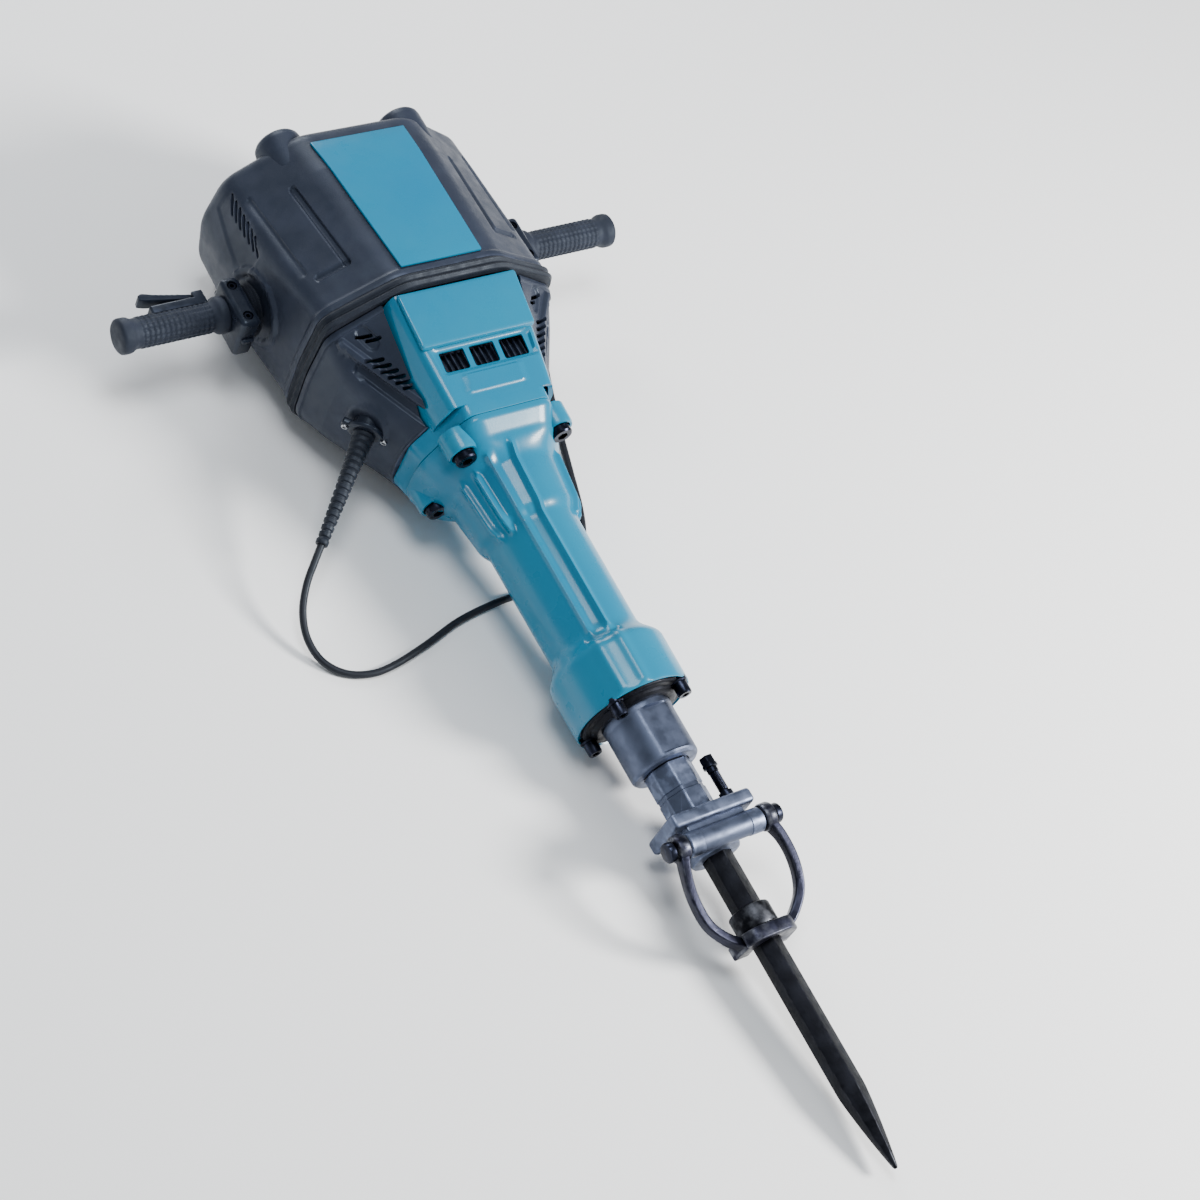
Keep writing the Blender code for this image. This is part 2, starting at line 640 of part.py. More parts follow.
def handles():
    """Sprung handle frame: yoke behind the motor, bars, brackets and rubber grips."""
    path = [(0.122, 0.004), (0.122, -0.078), (0.094, -0.1085), (-0.094, -0.1085), (-0.122, -0.078),
            (-0.122, 0.004)]
    bm = bmesh.new()
    edges = [[bm.verts.new((x, y, z)) for x, z in path] for y in (HANDLE_Y - 0.015, HANDLE_Y + 0.015)]
    for k in range(len(path) - 1):
        bm.faces.new((edges[0][k], edges[0][k + 1], edges[1][k + 1], edges[1][k]))
    yoke = keep("handle_yoke", mesh_from(bm), "steel")
    shell(yoke, 0.007)
    yoke.modifiers["wall"].offset = 0.0
    for side, word in ((-1, "left"), (1, "right")):
        place = side_place(side)
        keep(word + "_handle_bar", rod(0.011, 0.1262, 0.3100, 20), "steel", place)
        span = (0.1684 * side, 0.1900 * side)[::side]
        bracket = keep(word + "_bracket", box(span, (0.5480, 0.6130), (-0.044, 0.012), 0.005), "black_plastic")
        cut(bracket, rod(0.0114, 0.15, 0.20, 20), place)
        turned(word + "_grip", grip_profile(), "rubber", place)


def side_place(side):
    """Axes on the handle bar with local Z pointing outwards to one side."""
    turn = Matrix.Rotation(math.pi / 2 * side, 4, "Y")
    return Matrix.Translation((0, HANDLE_Y, HANDLE_Z)) @ turn


def grip_profile():
    """Rubber grip closed at its outer end, from its end cap down to its open root."""
    end = HANDLE_REACH
    return [(0, end), (0.0180, end), (0.0195, end - 0.002), (0.0195, end - 0.012), (GRIP_RADIUS, end - 0.017),
            (GRIP_RADIUS, 0.204), (0.0200, 0.199), (0.0200, 0.1903), (0.0114, 0.1903), (0.0114, 0.3103),
            (0, 0.3103)]


def switch():
    """Switch base on the left grip, lever, pivot pin and plunger."""
    z = HANDLE_Z
    base = keep("switch_base", box((-0.270, -0.2045), (0.594, 0.6085), (z - 0.0125, z + 0.0125)), "black_plastic")
    ears = boxes([((-0.2180, -0.2055), (0.600, 0.6145), (z + 0.0085, z + 0.0125)),
                  ((-0.2180, -0.2055), (0.600, 0.6145), (z - 0.0125, z - 0.0085))])
    join(base, ears)
    cut(base, rod(GRIP_RADIUS + 0.0005, -0.30, -0.19, 24), at(0, HANDLE_Y, z, "X"))
    cut(base, box((-0.2280, -0.2000), (0.6055, 0.6200), (z - 0.0085, z + 0.0085)))
    cut(base, rod(0.0034, 0.58, 0.62, 12), at(PLUNGER_X, 0, z, "Y"))
    cut(base, rod(0.0023, -0.05, 0.05, 12), at(LEVER_X, LEVER_Y, z))
    place = Matrix.Translation((LEVER_X, LEVER_Y, z)) @ Matrix.Rotation(-LEVER_RISE, 4, "Z")
    side = [(0.0040, -0.0030), (0.0040, 0.0035), (-0.046, 0.0042), (-0.060, 0.0060), (-LEVER_LENGTH, 0.0030),
            (-LEVER_LENGTH, -0.0020), (-0.058, -0.0030), (-0.010, -0.0025)]
    lever = prism("switch_lever", [side[::-1], hole((0, 0), 0.0023, 12)], -0.0078, 0.0078, "black_plastic", place)
    keep("lever_pin", rod(0.0019, -0.0120, 0.0120, 12), "steel", at(LEVER_X, LEVER_Y, z))
    keep("switch_plunger", rod(0.0028, 0.6073, 0.6118, 12), "rubber", at(PLUNGER_X, 0, z, "Y"))
    return lever


# ---------------------------------------------------------------- nose, retainer and bit

def nose():
    """Nose sleeve, tool holder with its cross plate and pivot barrel, shaft and side bolt."""
    turned("nose_sleeve", [(0.0603, 0.0160), (0.0603, 0.0040), (0.0380, 0.0040), (0.0380, -0.0680),
                           (0.0355, NOSE_END), (0.0255, NOSE_END), (0.0255, 0.0160)], "steel", at(axis="Y"),
           closed=True)
    holder = turned("tool_holder", [(0, 0.0300), (0.0400, 0.0300), (0.0400, 0.0165), (0.0250, 0.0163),
                                    (0.0250, -0.1320), (0.0280, -0.1320), (0.0280, HOLDER_END), (0, HOLDER_END)],
                    "steel", at(axis="Y"))
    join(holder, box((-0.050, 0.050), (-0.1460, -0.1300), (-0.0240, 0.0400), 0.003))
    join(holder, rod(0.0130, -0.0460, 0.0460, 20), at(0, PIVOT_Y, PIVOT_Z, "X"))
    cut(holder, rod(SHAFT_RADIUS + 0.0005, -0.06, 0.06, 20), at(0, PIVOT_Y, PIVOT_Z, "X"))
    cut(holder, rod(0.0175, -0.0220, 0.04, 20), at(axis="Y"))
    cut(holder, rod(HEX_BORE_CORNER, -0.20, -0.0215, 6), at(axis="Y"))
    turned("retainer_shaft", [(0, 0.0705), (0.0095, 0.0705), (0.0105, 0.0695), (0.0105, 0.0628),
                              (SHAFT_RADIUS, 0.0628), (SHAFT_RADIUS, -0.0628), (0.0105, -0.0628),
                              (0.0105, -0.0695), (0.0095, -0.0705), (0, -0.0705)], "steel",
           at(0, PIVOT_Y, PIVOT_Z, "X"), 20)
    turned("retainer_bolt", [(0, -0.0810), (0.0070, -0.0810), (0.0080, -0.0830), (0.0080, -0.0960),
                             (0.0055, -0.0970), (0.0055, -0.1297), (0, -0.1297)], "dark_steel",
           at(0.0315, 0, 0.0245, "Y"), 16)


def retainer_bail():
    """Swinging bail: two eyes on the shaft, two bowed arms and a fork under the bit's collar."""
    obj = keep("retainer_bail", fork_mesh(), "dark_steel")
    for side in (-1, 1):
        span = (EYE_INNER, EYE_OUTER) if side > 0 else (-EYE_OUTER, -EYE_INNER)
        join(obj, rod(0.0145, *span, 20), at(0, PIVOT_Y, PIVOT_Z, "X"))
        points = [(0.0540, -0.170, 0.031), (0.0600, -0.186, 0.029), (0.0630, -0.206, 0.024),
                  (0.0620, -0.226, 0.018), (0.0560, -0.244, 0.012), (0.0420, -0.260, 0.006),
                  (0.0240, -0.2715, 0.002)]
        join(obj, solid_from(rail([(side * x, y, z) for x, y, z in points], 0.0060)))
    for side in (-1, 1):
        cut(obj, rod(SHAFT_RADIUS + 0.0005, 0.04, 0.07, 20), at(0, PIVOT_Y, PIVOT_Z, "X") if side > 0 else
            at(-0.11, PIVOT_Y, PIVOT_Z, "X"))
    return obj


def fork_mesh():
    """Flat fork with its notch open to the back, as an outline in X and Z."""
    notch = 0.0158
    outline = ([(-0.033, 0.014), (-0.022, 0.026), (0.022, 0.026), (0.033, 0.014), (0.033, -0.016),
                (notch, -0.016)] + arc((0, 0), notch, 0, 180, 10) + [(-notch, -0.016), (-0.033, -0.016)])
    flipped = [(x, -z) for x, z in outline][::-1]
    return prism("fork", [flipped], FORK_BOTTOM, FORK_TOP, None, at(axis="Y"))


def bull_point():
    """Bit with a hexagonal shank, a collar and a long tapered point."""
    def hexagon(y, corner):
        points = [(corner * math.sin(math.radians(60 * k)), corner * math.cos(math.radians(60 * k)))
                  for k in range(6)]
        ring = []
        for k in range(6):
            a, b = Vector(points[k]), Vector(points[(k + 1) % 6])
            ring.extend((a, a.lerp(b, 0.5)))
        return [Vector((p.x, y, p.y)) for p in ring]

    rings = [hexagon(BIT_TIP, 0.0020), hexagon(-0.512, 0.0055), hexagon(-0.480, 0.0110),
             hexagon(-0.445, 0.0150), hexagon(-0.290, 0.0152), hexagon(-0.262, 0.0152)]
    rings += [hexagon(-0.2615, HEX_CORNER), hexagon(BIT_TOP - 0.004, HEX_CORNER), hexagon(BIT_TOP, 0.0130)]
    obj = keep("bull_point", loft(rings, True, True), "dark_steel")
    join(obj, rod(0.0225, COLLAR_BOTTOM, COLLAR_TOP, 24), at(axis="Y"))
    return obj


# ---------------------------------------------------------------- electrics and cord

def speed_controller():
    """Electronic speed controller in the lower cover."""
    keep("speed_controller", box((-0.1030, -0.0870), (0.412, 0.460), (-0.028, 0.018), 0.001), "circuit")


def cord_entry():
    """Gland through the lower cover and the long tapered guard on it."""
    place = along(GUARD_ROOT, GUARD_TIP)
    reach = (GUARD_TIP - GUARD_ROOT).length
    turned("cord_gland", [(0.0155, 0.0120), (0.0155, -0.0120), (0.0044, -0.0120), (0.0044, 0.0120)],
           "black_plastic", place, 20, True)
    outer = [(0.0068, reach), (0.0072, reach - 0.006), (0.0060, reach - 0.008), (0.0085, 0.060), (0.0120, 0.0123)]
    turned("cord_guard", outer + [(0.0044, 0.0123), (0.0044, reach)], "rubber", place, 16, True)


def cord():
    """Lead along the ground, its coil beside the head, and the plug on the coil's tail."""
    keep("cord_lead", rail(smooth_path(CORD_ROUTE, 0.024), CORD_RADIUS), "rubber", parent=None)
    low, high, edge = 0.0003, COIL_HEIGHT, 0.003
    profile = [(COIL_OUTER, high - edge), (COIL_OUTER, low + edge), (COIL_OUTER - edge, low),
               (COIL_INNER + edge, low), (COIL_INNER, low + edge), (COIL_INNER, high - edge),
               (COIL_INNER + edge, high), (COIL_OUTER - edge, high)]
    turned("cord_coil", profile, "rubber", Matrix.Translation((*COIL_CENTRE, 0)), 32, True, None)
    keep("cord_tail", rail(smooth_path(TAIL_ROUTE, 0.012), CORD_RADIUS), "rubber", parent=None)
    plug = keep("power_plug", plug_body(), "rubber", parent=None)
    for side in (-1, 1):
        place = at(PLUG_X + side * PIN_SPACING / 2, PLUG_REAR, PLUG_Z, "Y")
        boolean(plug, cutter(rod(0.0024, -0.0830, -0.0560, 12), place, None), "UNION")


def plug_body():
    """Flat two-pin plug lying on its broad side, with its strain relief towards the tail."""
    rings = []
    for back, half, high in ((0.0640, 0.0172, 0.0120), (0.0630, 0.0180, 0.0128), (0.0500, 0.0180, 0.0128),
                             (0.0300, 0.0130, 0.0105), (0.0270, 0.0085, 0.0085), (0.0, 0.0062, 0.0062)):
        corners = [(half, high), (half, -high), (-half, -high), (-half, high)]
        rings.append([Vector((PLUG_X + p.x, PLUG_REAR - back, PLUG_Z + p.y)) for p in rounded(corners, 0.006)])
    return loft(rings, True, True)


def lay_on_ground():
    """Tilts the tool, stands it on the ground and centres its length over the origin."""
    TOOL.rotation_euler = (TILT, 0, 0)
    TOOL.location = (0, 0, COLLAR_RADIUS * math.cos(TILT))
    bpy.context.view_layer.update()
    graph = bpy.context.evaluated_depsgraph_get()
    low, high = math.inf, -math.inf
    for obj in TOOL.children:
        if obj.hide_render:
            continue
        mesh = obj.evaluated_get(graph).to_mesh()
        reach = [(obj.matrix_world @ vertex.co).y for vertex in mesh.vertices]
        low, high = min(low, *reach), max(high, *reach)
    TOOL.location.y = -(low + high) / 2
    bpy.context.view_layer.update()


motor_housing()
front_stripe()
seam_band()
lower_cover()
gear_housing()
gear_cover()
barrel()
bearing_plate()
stator()
rotor()
gear_train()
connecting_rod()
hammer()
handles()
switch()
nose()
retainer_bail()
bull_point()
speed_controller()
cord_entry()
cord()
lay_on_ground()
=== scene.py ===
"""Looks of the electric jackhammer that lies on its back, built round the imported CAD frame.

The tool's own axes are those of the CAD part: X towards the right handle, Y from the bit up to the
head, Z to the front. Pieces are modelled in them, and TOOL turns them into the row's frame.
"""
import math

import bmesh
import bpy
import numpy as np
from mathutils import Matrix, Vector


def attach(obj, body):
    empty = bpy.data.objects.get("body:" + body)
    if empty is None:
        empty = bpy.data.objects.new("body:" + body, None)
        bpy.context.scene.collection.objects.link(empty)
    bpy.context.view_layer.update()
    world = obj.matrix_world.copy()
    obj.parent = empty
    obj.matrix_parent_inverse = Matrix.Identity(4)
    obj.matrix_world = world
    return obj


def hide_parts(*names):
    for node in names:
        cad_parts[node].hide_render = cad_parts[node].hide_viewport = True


# Place of the tool's axes in the row's frame
TILT = math.radians(5.2)
TOOL = Matrix.Translation((0, -0.1013067, 0.0657284)) @ Matrix.Rotation(TILT, 4, "X")

# Driving sizes, the same as the CAD part's
COLLAR_RADIUS = 0.066
SEAM_TOP, SEAM_BOTTOM = 0.497, 0.48
HEAD_EDGE, HEAD_ROUND = 0.704, 0.016
COVER_BOTTOM, FLANGE_FACE = 0.355, 0.3345
HANDLE_Y, HANDLE_Z, HANDLE_REACH = 0.586, -0.016, 0.315
PIVOT_Y, PIVOT_Z = -0.164, 0.031
HOLDER_END = -0.176
GUARD_ROOT, GUARD_TIP = Vector((-0.112, 0.4, 0.004)), Vector((-0.208, 0.298, -0.035))
LEVER_X, LEVER_Y, LEVER_LENGTH, LEVER_RISE = -0.212, 0.61, 0.064, math.radians(12)
FORK_TOP, FORK_BOTTOM = -0.2635, -0.278
BIT_TOP, BIT_TIP, BIT_COLLAR_TOP, BIT_COLLAR_BOTTOM = -0.086, -0.528, -0.238, -0.2632
SHANK_CORNER = 0.0165

# Cord, in the row's frame: the route repeats the CAD part's
CORD_LENGTH, CORD_RADIUS = 5.0, 0.004
CORD_ROUTE = [(-0.2082, 0.1984, 0.0578), (-0.2215, 0.1848, 0.0511), (-0.2370, 0.1680, 0.0410),
              (-0.2500, 0.1460, 0.0285), (-0.2550, 0.1210, 0.0165), (-0.2490, 0.0960, 0.0075),
              (-0.2320, 0.0760, 0.0042), (-0.2060, 0.0660, 0.0041), (-0.1750, 0.0680, 0.0041),
              (-0.1300, 0.0800, 0.0041), (-0.0800, 0.0960, 0.0041), (-0.0250, 0.1040, 0.0041),
              (0.0300, 0.1060, 0.0041), (0.0750, 0.1180, 0.0041), (0.1080, 0.1460, 0.0041),
              (0.1290, 0.1850, 0.0041), (0.1480, 0.2400, 0.0041), (0.1720, 0.3100, 0.0041),
              (0.2010, 0.3850, 0.0041), (0.2330, 0.4500, 0.0042), (0.2562, 0.5150, 0.0045)]
TAIL_ROUTE = [(0.1495, 0.5250, 0.0270), (0.1512, 0.5140, 0.0240), (0.1540, 0.5020, 0.0200),
              (0.1568, 0.4890, 0.0162), (0.1590, 0.4770, 0.0137), (0.1600, 0.4690, 0.0131),
              (0.1600, 0.4640, 0.0131)]
COIL_CENTRE = (0.202, 0.5655)
COIL_RADIUS, COIL_PITCH, COIL_LOW, COIL_TURNS = 0.0563, 0.008, 0.0048, 14.5
PLUG_X, PLUG_REAR, PLUG_Z = 0.16, 0.4637, 0.0131

IDENTITY = Matrix.Identity(4)
GAP = 0.0003                          # between pieces that touch
MOTOR_WALL, CASTING_WALL = 0.0055, 0.005
CHEEK_OUT, CHEEK_UP = 0.61, 0.79      # direction in which the slanted cheeks face
SIDES = ((-1, "left"), (1, "right"))

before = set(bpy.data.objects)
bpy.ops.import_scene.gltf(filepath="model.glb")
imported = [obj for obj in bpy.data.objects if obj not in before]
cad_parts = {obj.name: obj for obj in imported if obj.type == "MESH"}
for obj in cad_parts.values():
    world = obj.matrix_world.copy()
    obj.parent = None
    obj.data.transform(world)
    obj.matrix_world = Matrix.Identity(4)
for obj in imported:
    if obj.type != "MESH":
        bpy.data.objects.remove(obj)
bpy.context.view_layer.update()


# ---------------------------------------------------------------- meshes

def smooth(low, high, x):
    """0 below low, 1 above high, a soft step between."""
    t = np.clip((x - low) / (high - low), 0, 1)
    return t * t * (3 - 2 * t)


def band(x, low, high, soft):
    """1 between low and high, falling to 0 over a soft edge outside."""
    return smooth(low - soft, low, x) * (1 - smooth(high, high + soft, x))


def to_line(points, a, b):
    """Distance of each point from the segment a to b."""
    a, b = np.array(a), np.array(b)
    run = b - a
    t = np.clip((points - a) @ run / (run @ run), 0, 1)
    return np.linalg.norm(points - a - t[:, None] * run, axis=1)


def polish(mesh, angle=35):
    """Smooth shading with sharp creases."""
    mesh.shade_smooth()
    mesh.set_sharp_from_angle(angle=math.radians(angle))
    return mesh


def grid(rings, low=False, high=False, closed=False, angle=35):
    """Skins rings, an array (rings, points, 3), with optional end caps."""
    rings = np.array(rings, float)
    count, around = rings.shape[:2]
    faces = []
    for r in range(count if closed else count - 1):
        a, b = r * around, ((r + 1) % count) * around
        for k in range(around):
            n = (k + 1) % around
            faces.append((a + k, a + n, b + n, b + k))
    if low:
        faces.append(tuple(range(around))[::-1])
    if high:
        faces.append(tuple(range((count - 1) * around, count * around)))
    mesh = bpy.data.meshes.new("mesh")
    mesh.from_pydata(rings.reshape(-1, 3).tolist(), [], faces)
    bm = bmesh.new()
    bm.from_mesh(mesh)
    bmesh.ops.recalc_face_normals(bm, faces=bm.faces[:])
    bm.to_mesh(mesh)
    bm.free()
    return polish(mesh, angle)


def relief(mesh, height, angle=35, skin=None):
    """Moves each vertex along its normal by height(places, normals), or only the first ones, the skin."""
    count = len(mesh.vertices)
    places, normals = np.zeros(count * 3), np.zeros(count * 3)
    mesh.vertices.foreach_get("co", places)
    mesh.vertex_normals.foreach_get("vector", normals)
    places, normals = places.reshape(-1, 3), normals.reshape(-1, 3)
    lift = height(places, normals)[:, None]
    places[:skin] += (normals * lift)[:skin]
    mesh.vertices.foreach_set("co", places.ravel())
    mesh.update()
    return polish(mesh, angle)


def fillet(points, radius, steps=4, closed=True):
    """An outline with each corner replaced by a short curve. radius is one value or one per corner."""
    out = []
    for k, corner in enumerate(points):
        size = radius[k] if hasattr(radius, "__len__") else radius
        corner = Vector(corner)
        if size == 0 or (not closed and k in (0, len(points) - 1)):
            out.append(corner)
            continue
        before = Vector(points[k - 1]) - corner
        after = Vector(points[(k + 1) % len(points)]) - corner
        start = corner + before.normalized() * min(size, 0.48 * before.length)
        end = corner + after.normalized() * min(size, 0.48 * after.length)
        for s in range(steps + 1):
            t = s / steps
            out.append(start.lerp(corner, t).lerp(corner.lerp(end, t), t))
    return out


def turned(profile, steps=48, place=IDENTITY, closed=False):
    """A placed mesh turned round local Z. The profile's (radius, height) points run down the outer side."""
    angles = [2 * math.pi * k / steps for k in range(steps)]
    rings = []
    for radius, height in profile:
        radius = max(radius, 1e-5)
        rings.append([(radius * math.cos(a), radius * math.sin(a), height) for a in angles])
    return moved(grid(rings, not closed, not closed, closed), place)


def rod(radius, high, low, steps=32, place=IDENTITY):
    """A plain cylinder, for a hole."""
    return turned([(0, high), (radius, high), (radius, low), (0, low)], steps, place)


def prism(outline, low, high, bevel=0.0, segments=3):
    """A flat body in X and Y between two heights, with rounded edges."""
    bm = bmesh.new()
    face = bm.faces.new([bm.verts.new((p[0], p[1], low)) for p in outline])
    raised = bmesh.ops.extrude_face_region(bm, geom=[face])["geom"]
    top = [item for item in raised if isinstance(item, bmesh.types.BMVert)]
    bmesh.ops.translate(bm, verts=top, vec=(0, 0, high - low))
    bmesh.ops.recalc_face_normals(bm, faces=bm.faces[:])
    if bevel:
        rims = [e for e in bm.edges if abs(e.verts[0].co.z - e.verts[1].co.z) < 1e-7]
        bmesh.ops.bevel(bm, geom=rims, offset=bevel, segments=segments, affect="EDGES", profile=0.5)
    return mesh_of(bm)


def mesh_of(bm):
    """A polished mesh from a bmesh, which is freed."""
    mesh = bpy.data.meshes.new("mesh")
    bm.to_mesh(mesh)
    bm.free()
    return polish(mesh)


def polygon(sides, reach, turn=0.0):
    """A regular outline's corners, the first at the turn's angle from local X."""
    angles = [turn + 2 * math.pi * k / sides for k in range(sides)]
    return [(reach * math.cos(a), reach * math.sin(a)) for a in angles]


def block(x, y, z, bevel=0.001, segments=3):
    """A box from its spans with rounded edges."""
    bm = bmesh.new()
    size = [high - low for low, high in (x, y, z)]
    middle = [(high + low) / 2 for low, high in (x, y, z)]
    bmesh.ops.create_cube(bm, size=1.0, matrix=Matrix.Translation(middle) @ Matrix.Diagonal((*size, 1.0)))
    bmesh.ops.bevel(bm, geom=bm.edges[:], offset=bevel, segments=segments, affect="EDGES", profile=0.5)
    return mesh_of(bm)


def ribbon(points, outline):
    """Sweeps an outline, a function of the share along the path, over the path's points."""
    rings = []
    for k, point in enumerate(points):
        ahead = points[min(k + 1, len(points) - 1)] - points[max(k - 1, 0)]
        ahead.normalize()
        side = ahead.cross(Vector((0, 0, 1))).normalized()
        rise = side.cross(ahead)
        rings.append([point + side * p.x + rise * p.y for p in outline(k / (len(points) - 1))])
    return grid(rings, True, True)


def moved(mesh, matrix):
    """The same mesh, moved."""
    mesh.transform(matrix)
    return mesh


def merged(*meshes):
    """One mesh of several bodies."""
    bm = bmesh.new()
    for mesh in meshes:
        bm.from_mesh(mesh)
    return mesh_of(bm)


def at(x=0.0, y=0.0, z=0.0, axis="Z"):
    """A matrix whose local Z points along the named axis."""
    turn = {"X": Matrix.Rotation(math.pi / 2, 4, "Y"), "-X": Matrix.Rotation(-math.pi / 2, 4, "Y"),
            "Y": Matrix.Rotation(-math.pi / 2, 4, "X"), "-Y": Matrix.Rotation(math.pi / 2, 4, "X"),
            "Z": IDENTITY}[axis]
    return Matrix.Translation((x, y, z)) @ turn


def along(start, end):
    """A matrix at start whose local Z points to end."""
    return Matrix.Translation(start) @ (end - start).to_track_quat("Z", "Y").to_matrix().to_4x4()


def added(name, data):
    """A new object in the scene."""
    obj = bpy.data.objects.new(name, data)
    bpy.context.scene.collection.objects.link(obj)
    return obj


def modified(mesh, kind, **values):
    """The mesh after one modifier."""
    holder = added("holder", mesh)
    modifier = holder.modifiers.new("modifier", kind)
    for key, value in values.items():
        setattr(modifier, key, value)
    graph = bpy.context.evaluated_depsgraph_get()
    result = bpy.data.meshes.new_from_object(holder.evaluated_get(graph))
    bpy.data.objects.remove(holder, do_unlink=True)
    return result


def moulded(rings, thickness, height, high=False):
    """A hollow moulding: skinned rings thickened inwards, with relief on the outside only."""
    outside = grid(rings, high=high)
    hollow = modified(outside, "SOLIDIFY", thickness=thickness, offset=-1.0, use_even_offset=True)
    return relief(hollow, height, skin=len(outside.vertices))


def combined(mesh, others, operation):
    """The mesh after an exact Boolean with each of the other bodies."""
    for other in others:
        tool = added("tool", other)
        mesh = modified(mesh, "BOOLEAN", object=tool, operation=operation, solver="EXACT")
        bpy.data.objects.remove(tool, do_unlink=True)
    return polish(mesh, 32)


def carved(mesh, *cutters):
    """The mesh with bodies cut out of it."""
    return combined(mesh, cutters, "DIFFERENCE")


def fused(mesh, *others):
    """The mesh in one with other bodies."""
    return combined(mesh, others, "UNION")


def piece(name, data, material, *stands_for, body="housing", slot=None, place=TOOL):
    """An object that rides on a body and stands for CAD nodes, its data moved to the row's frame."""
    data.transform(place)
    data.materials.clear()
    data.materials.append(material)
    obj = added(name, data)
    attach(obj, body)
    if stands_for:
        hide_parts(*stands_for)
    return obj


# ---------------------------------------------------------------- materials

class Finish:
    """A procedural material under construction, on the object's own coordinates."""

    def __init__(self, name, colour, roughness, metallic=0.0):
        self.material = bpy.data.materials.new(name)
        self.material.use_nodes = True
        self.material.diffuse_color = (*colour, 1.0)
        self.tree = self.material.node_tree
        self.shader = self.tree.nodes["Principled BSDF"]
        self.shader.inputs["Base Color"].default_value = (*colour, 1.0)
        self.shader.inputs["Roughness"].default_value = roughness
        self.shader.inputs["Metallic"].default_value = metallic
        self.where = self.tree.nodes.new("ShaderNodeTexCoord").outputs["Object"]
        self.colour = colour

    def set(self, **values):
        """Sets the shader's inputs, with _ for a space in a name."""
        for key, value in values.items():
            self.shader.inputs[key.replace("_", " ")].default_value = value
        return self

    def node(self, kind, inputs=None, **settings):
        """A new node, its inputs given as values or as other nodes' outputs."""
        node = self.tree.nodes.new(kind)
        for key, value in settings.items():
            setattr(node, key, value)
        for key, value in (inputs or {}).items():
            if isinstance(value, bpy.types.NodeSocket):
                self.tree.links.new(value, node.inputs[key])
            else:
                node.inputs[key].default_value = value
        return node

    def noise(self, scale, detail=4.0, stretch=None):
        """Noise of about scale features a metre, stretched along the tool's axes."""
        where = self.where
        if stretch:
            where = self.node("ShaderNodeMapping", {"Vector": where, "Scale": stretch}).outputs[0]
        inputs = {"Vector": where, "Scale": scale, "Detail": detail}
        return self.node("ShaderNodeTexNoise", inputs).outputs["Fac"]

    def cells(self, scale):
        """Distance to the nearest of scattered points, for grained plastic."""
        return self.node("ShaderNodeTexVoronoi", {"Vector": self.where, "Scale": scale}).outputs["Distance"]

    def ramp(self, value, low, high, out_low=0.0, out_high=1.0):
        """Maps a value from low..high to out_low..out_high, clamped."""
        inputs = {"Value": value, "From Min": low, "From Max": high, "To Min": out_low, "To Max": out_high}
        return self.node("ShaderNodeMapRange", inputs).outputs[0]

    def tint(self, share, colour):
        """Mixes another colour over what the base colour is so far."""
        mix = self.node("ShaderNodeMix", data_type="RGBA")
        base = self.shader.inputs["Base Color"]
        if base.is_linked:
            self.tree.links.new(base.links[0].from_socket, mix.inputs["A"])
        else:
            mix.inputs["A"].default_value = (*self.colour, 1.0)
        mix.inputs["B"].default_value = (*colour, 1.0)
        self.tree.links.new(share, mix.inputs["Factor"])
        self.tree.links.new(mix.outputs["Result"], base)
        return self

    def vary(self, value, low, high):
        """Roughness between two values."""
        self.tree.links.new(self.ramp(value, 0.3, 0.7, low, high), self.shader.inputs["Roughness"])
        return self

    def bump(self, value, depth, strength=1.0):
        """Surface texture of the given depth in metres, over what is there so far."""
        inputs = {"Height": value, "Distance": depth, "Strength": strength}
        normal = self.shader.inputs["Normal"]
        if normal.is_linked:
            inputs["Normal"] = normal.links[0].from_socket
        self.tree.links.new(self.node("ShaderNodeBump", inputs).outputs[0], normal)
        return self

    def edges(self, low, high, most=1.0):
        """Share of an exposed edge at a point, for wear."""
        point = self.tree.nodes.new("ShaderNodeNewGeometry").outputs["Pointiness"]
        worn = self.ramp(point, low, high, 0.0, most)
        patch = self.ramp(self.noise(90, 6), 0.42, 0.62)
        return self.node("ShaderNodeMath", {0: worn, 1: patch}, operation="MULTIPLY").outputs[0]


def grained_plastic(name, colour, roughness=0.42):
    """Moulded plastic with a spark-eroded grain and a faint bloom of handling."""
    finish = Finish(name, colour, roughness)
    lighter = tuple(min(1.0, c * 2.1 + 0.006) for c in colour)
    finish.tint(finish.ramp(finish.noise(26, 5), 0.45, 0.78, 0.0, 0.35), lighter)
    finish.tint(finish.edges(0.53, 0.6), tuple(c * 3.0 + 0.01 for c in colour))
    finish.vary(finish.noise(60, 5), roughness - 0.07, roughness + 0.09)
    finish.bump(finish.cells(900), 0.0001, 0.5)
    finish.bump(finish.noise(2600, 2), 0.00006, 0.6)
    return finish.set(Specular_IOR_Level=0.34, Specular_Tint=(0.72, 0.84, 1.0, 1.0)).material


def enamel(name, colour):
    """Thick glossy enamel on a casting: soft orange peel, darker in patches, paler teal on parts of its sharp
    edges.
    """
    finish = Finish(name, colour, 0.3)
    deeper = (colour[0] * 0.6, colour[1] * 0.72, colour[2] * 0.9)
    finish.tint(finish.ramp(finish.noise(9, 3), 0.35, 0.75, 0.0, 0.35), deeper)
    finish.tint(finish.edges(0.54, 0.66, 0.35), (0.05, 0.34, 0.42))
    finish.vary(finish.noise(45, 5), 0.24, 0.36)
    finish.bump(finish.noise(420, 2), 0.0001, 0.35)
    finish.bump(finish.noise(60, 3), 0.00025, 0.15)
    return finish.set(Coat_Weight=0.24, Coat_Roughness=0.14, Specular_IOR_Level=0.26).material


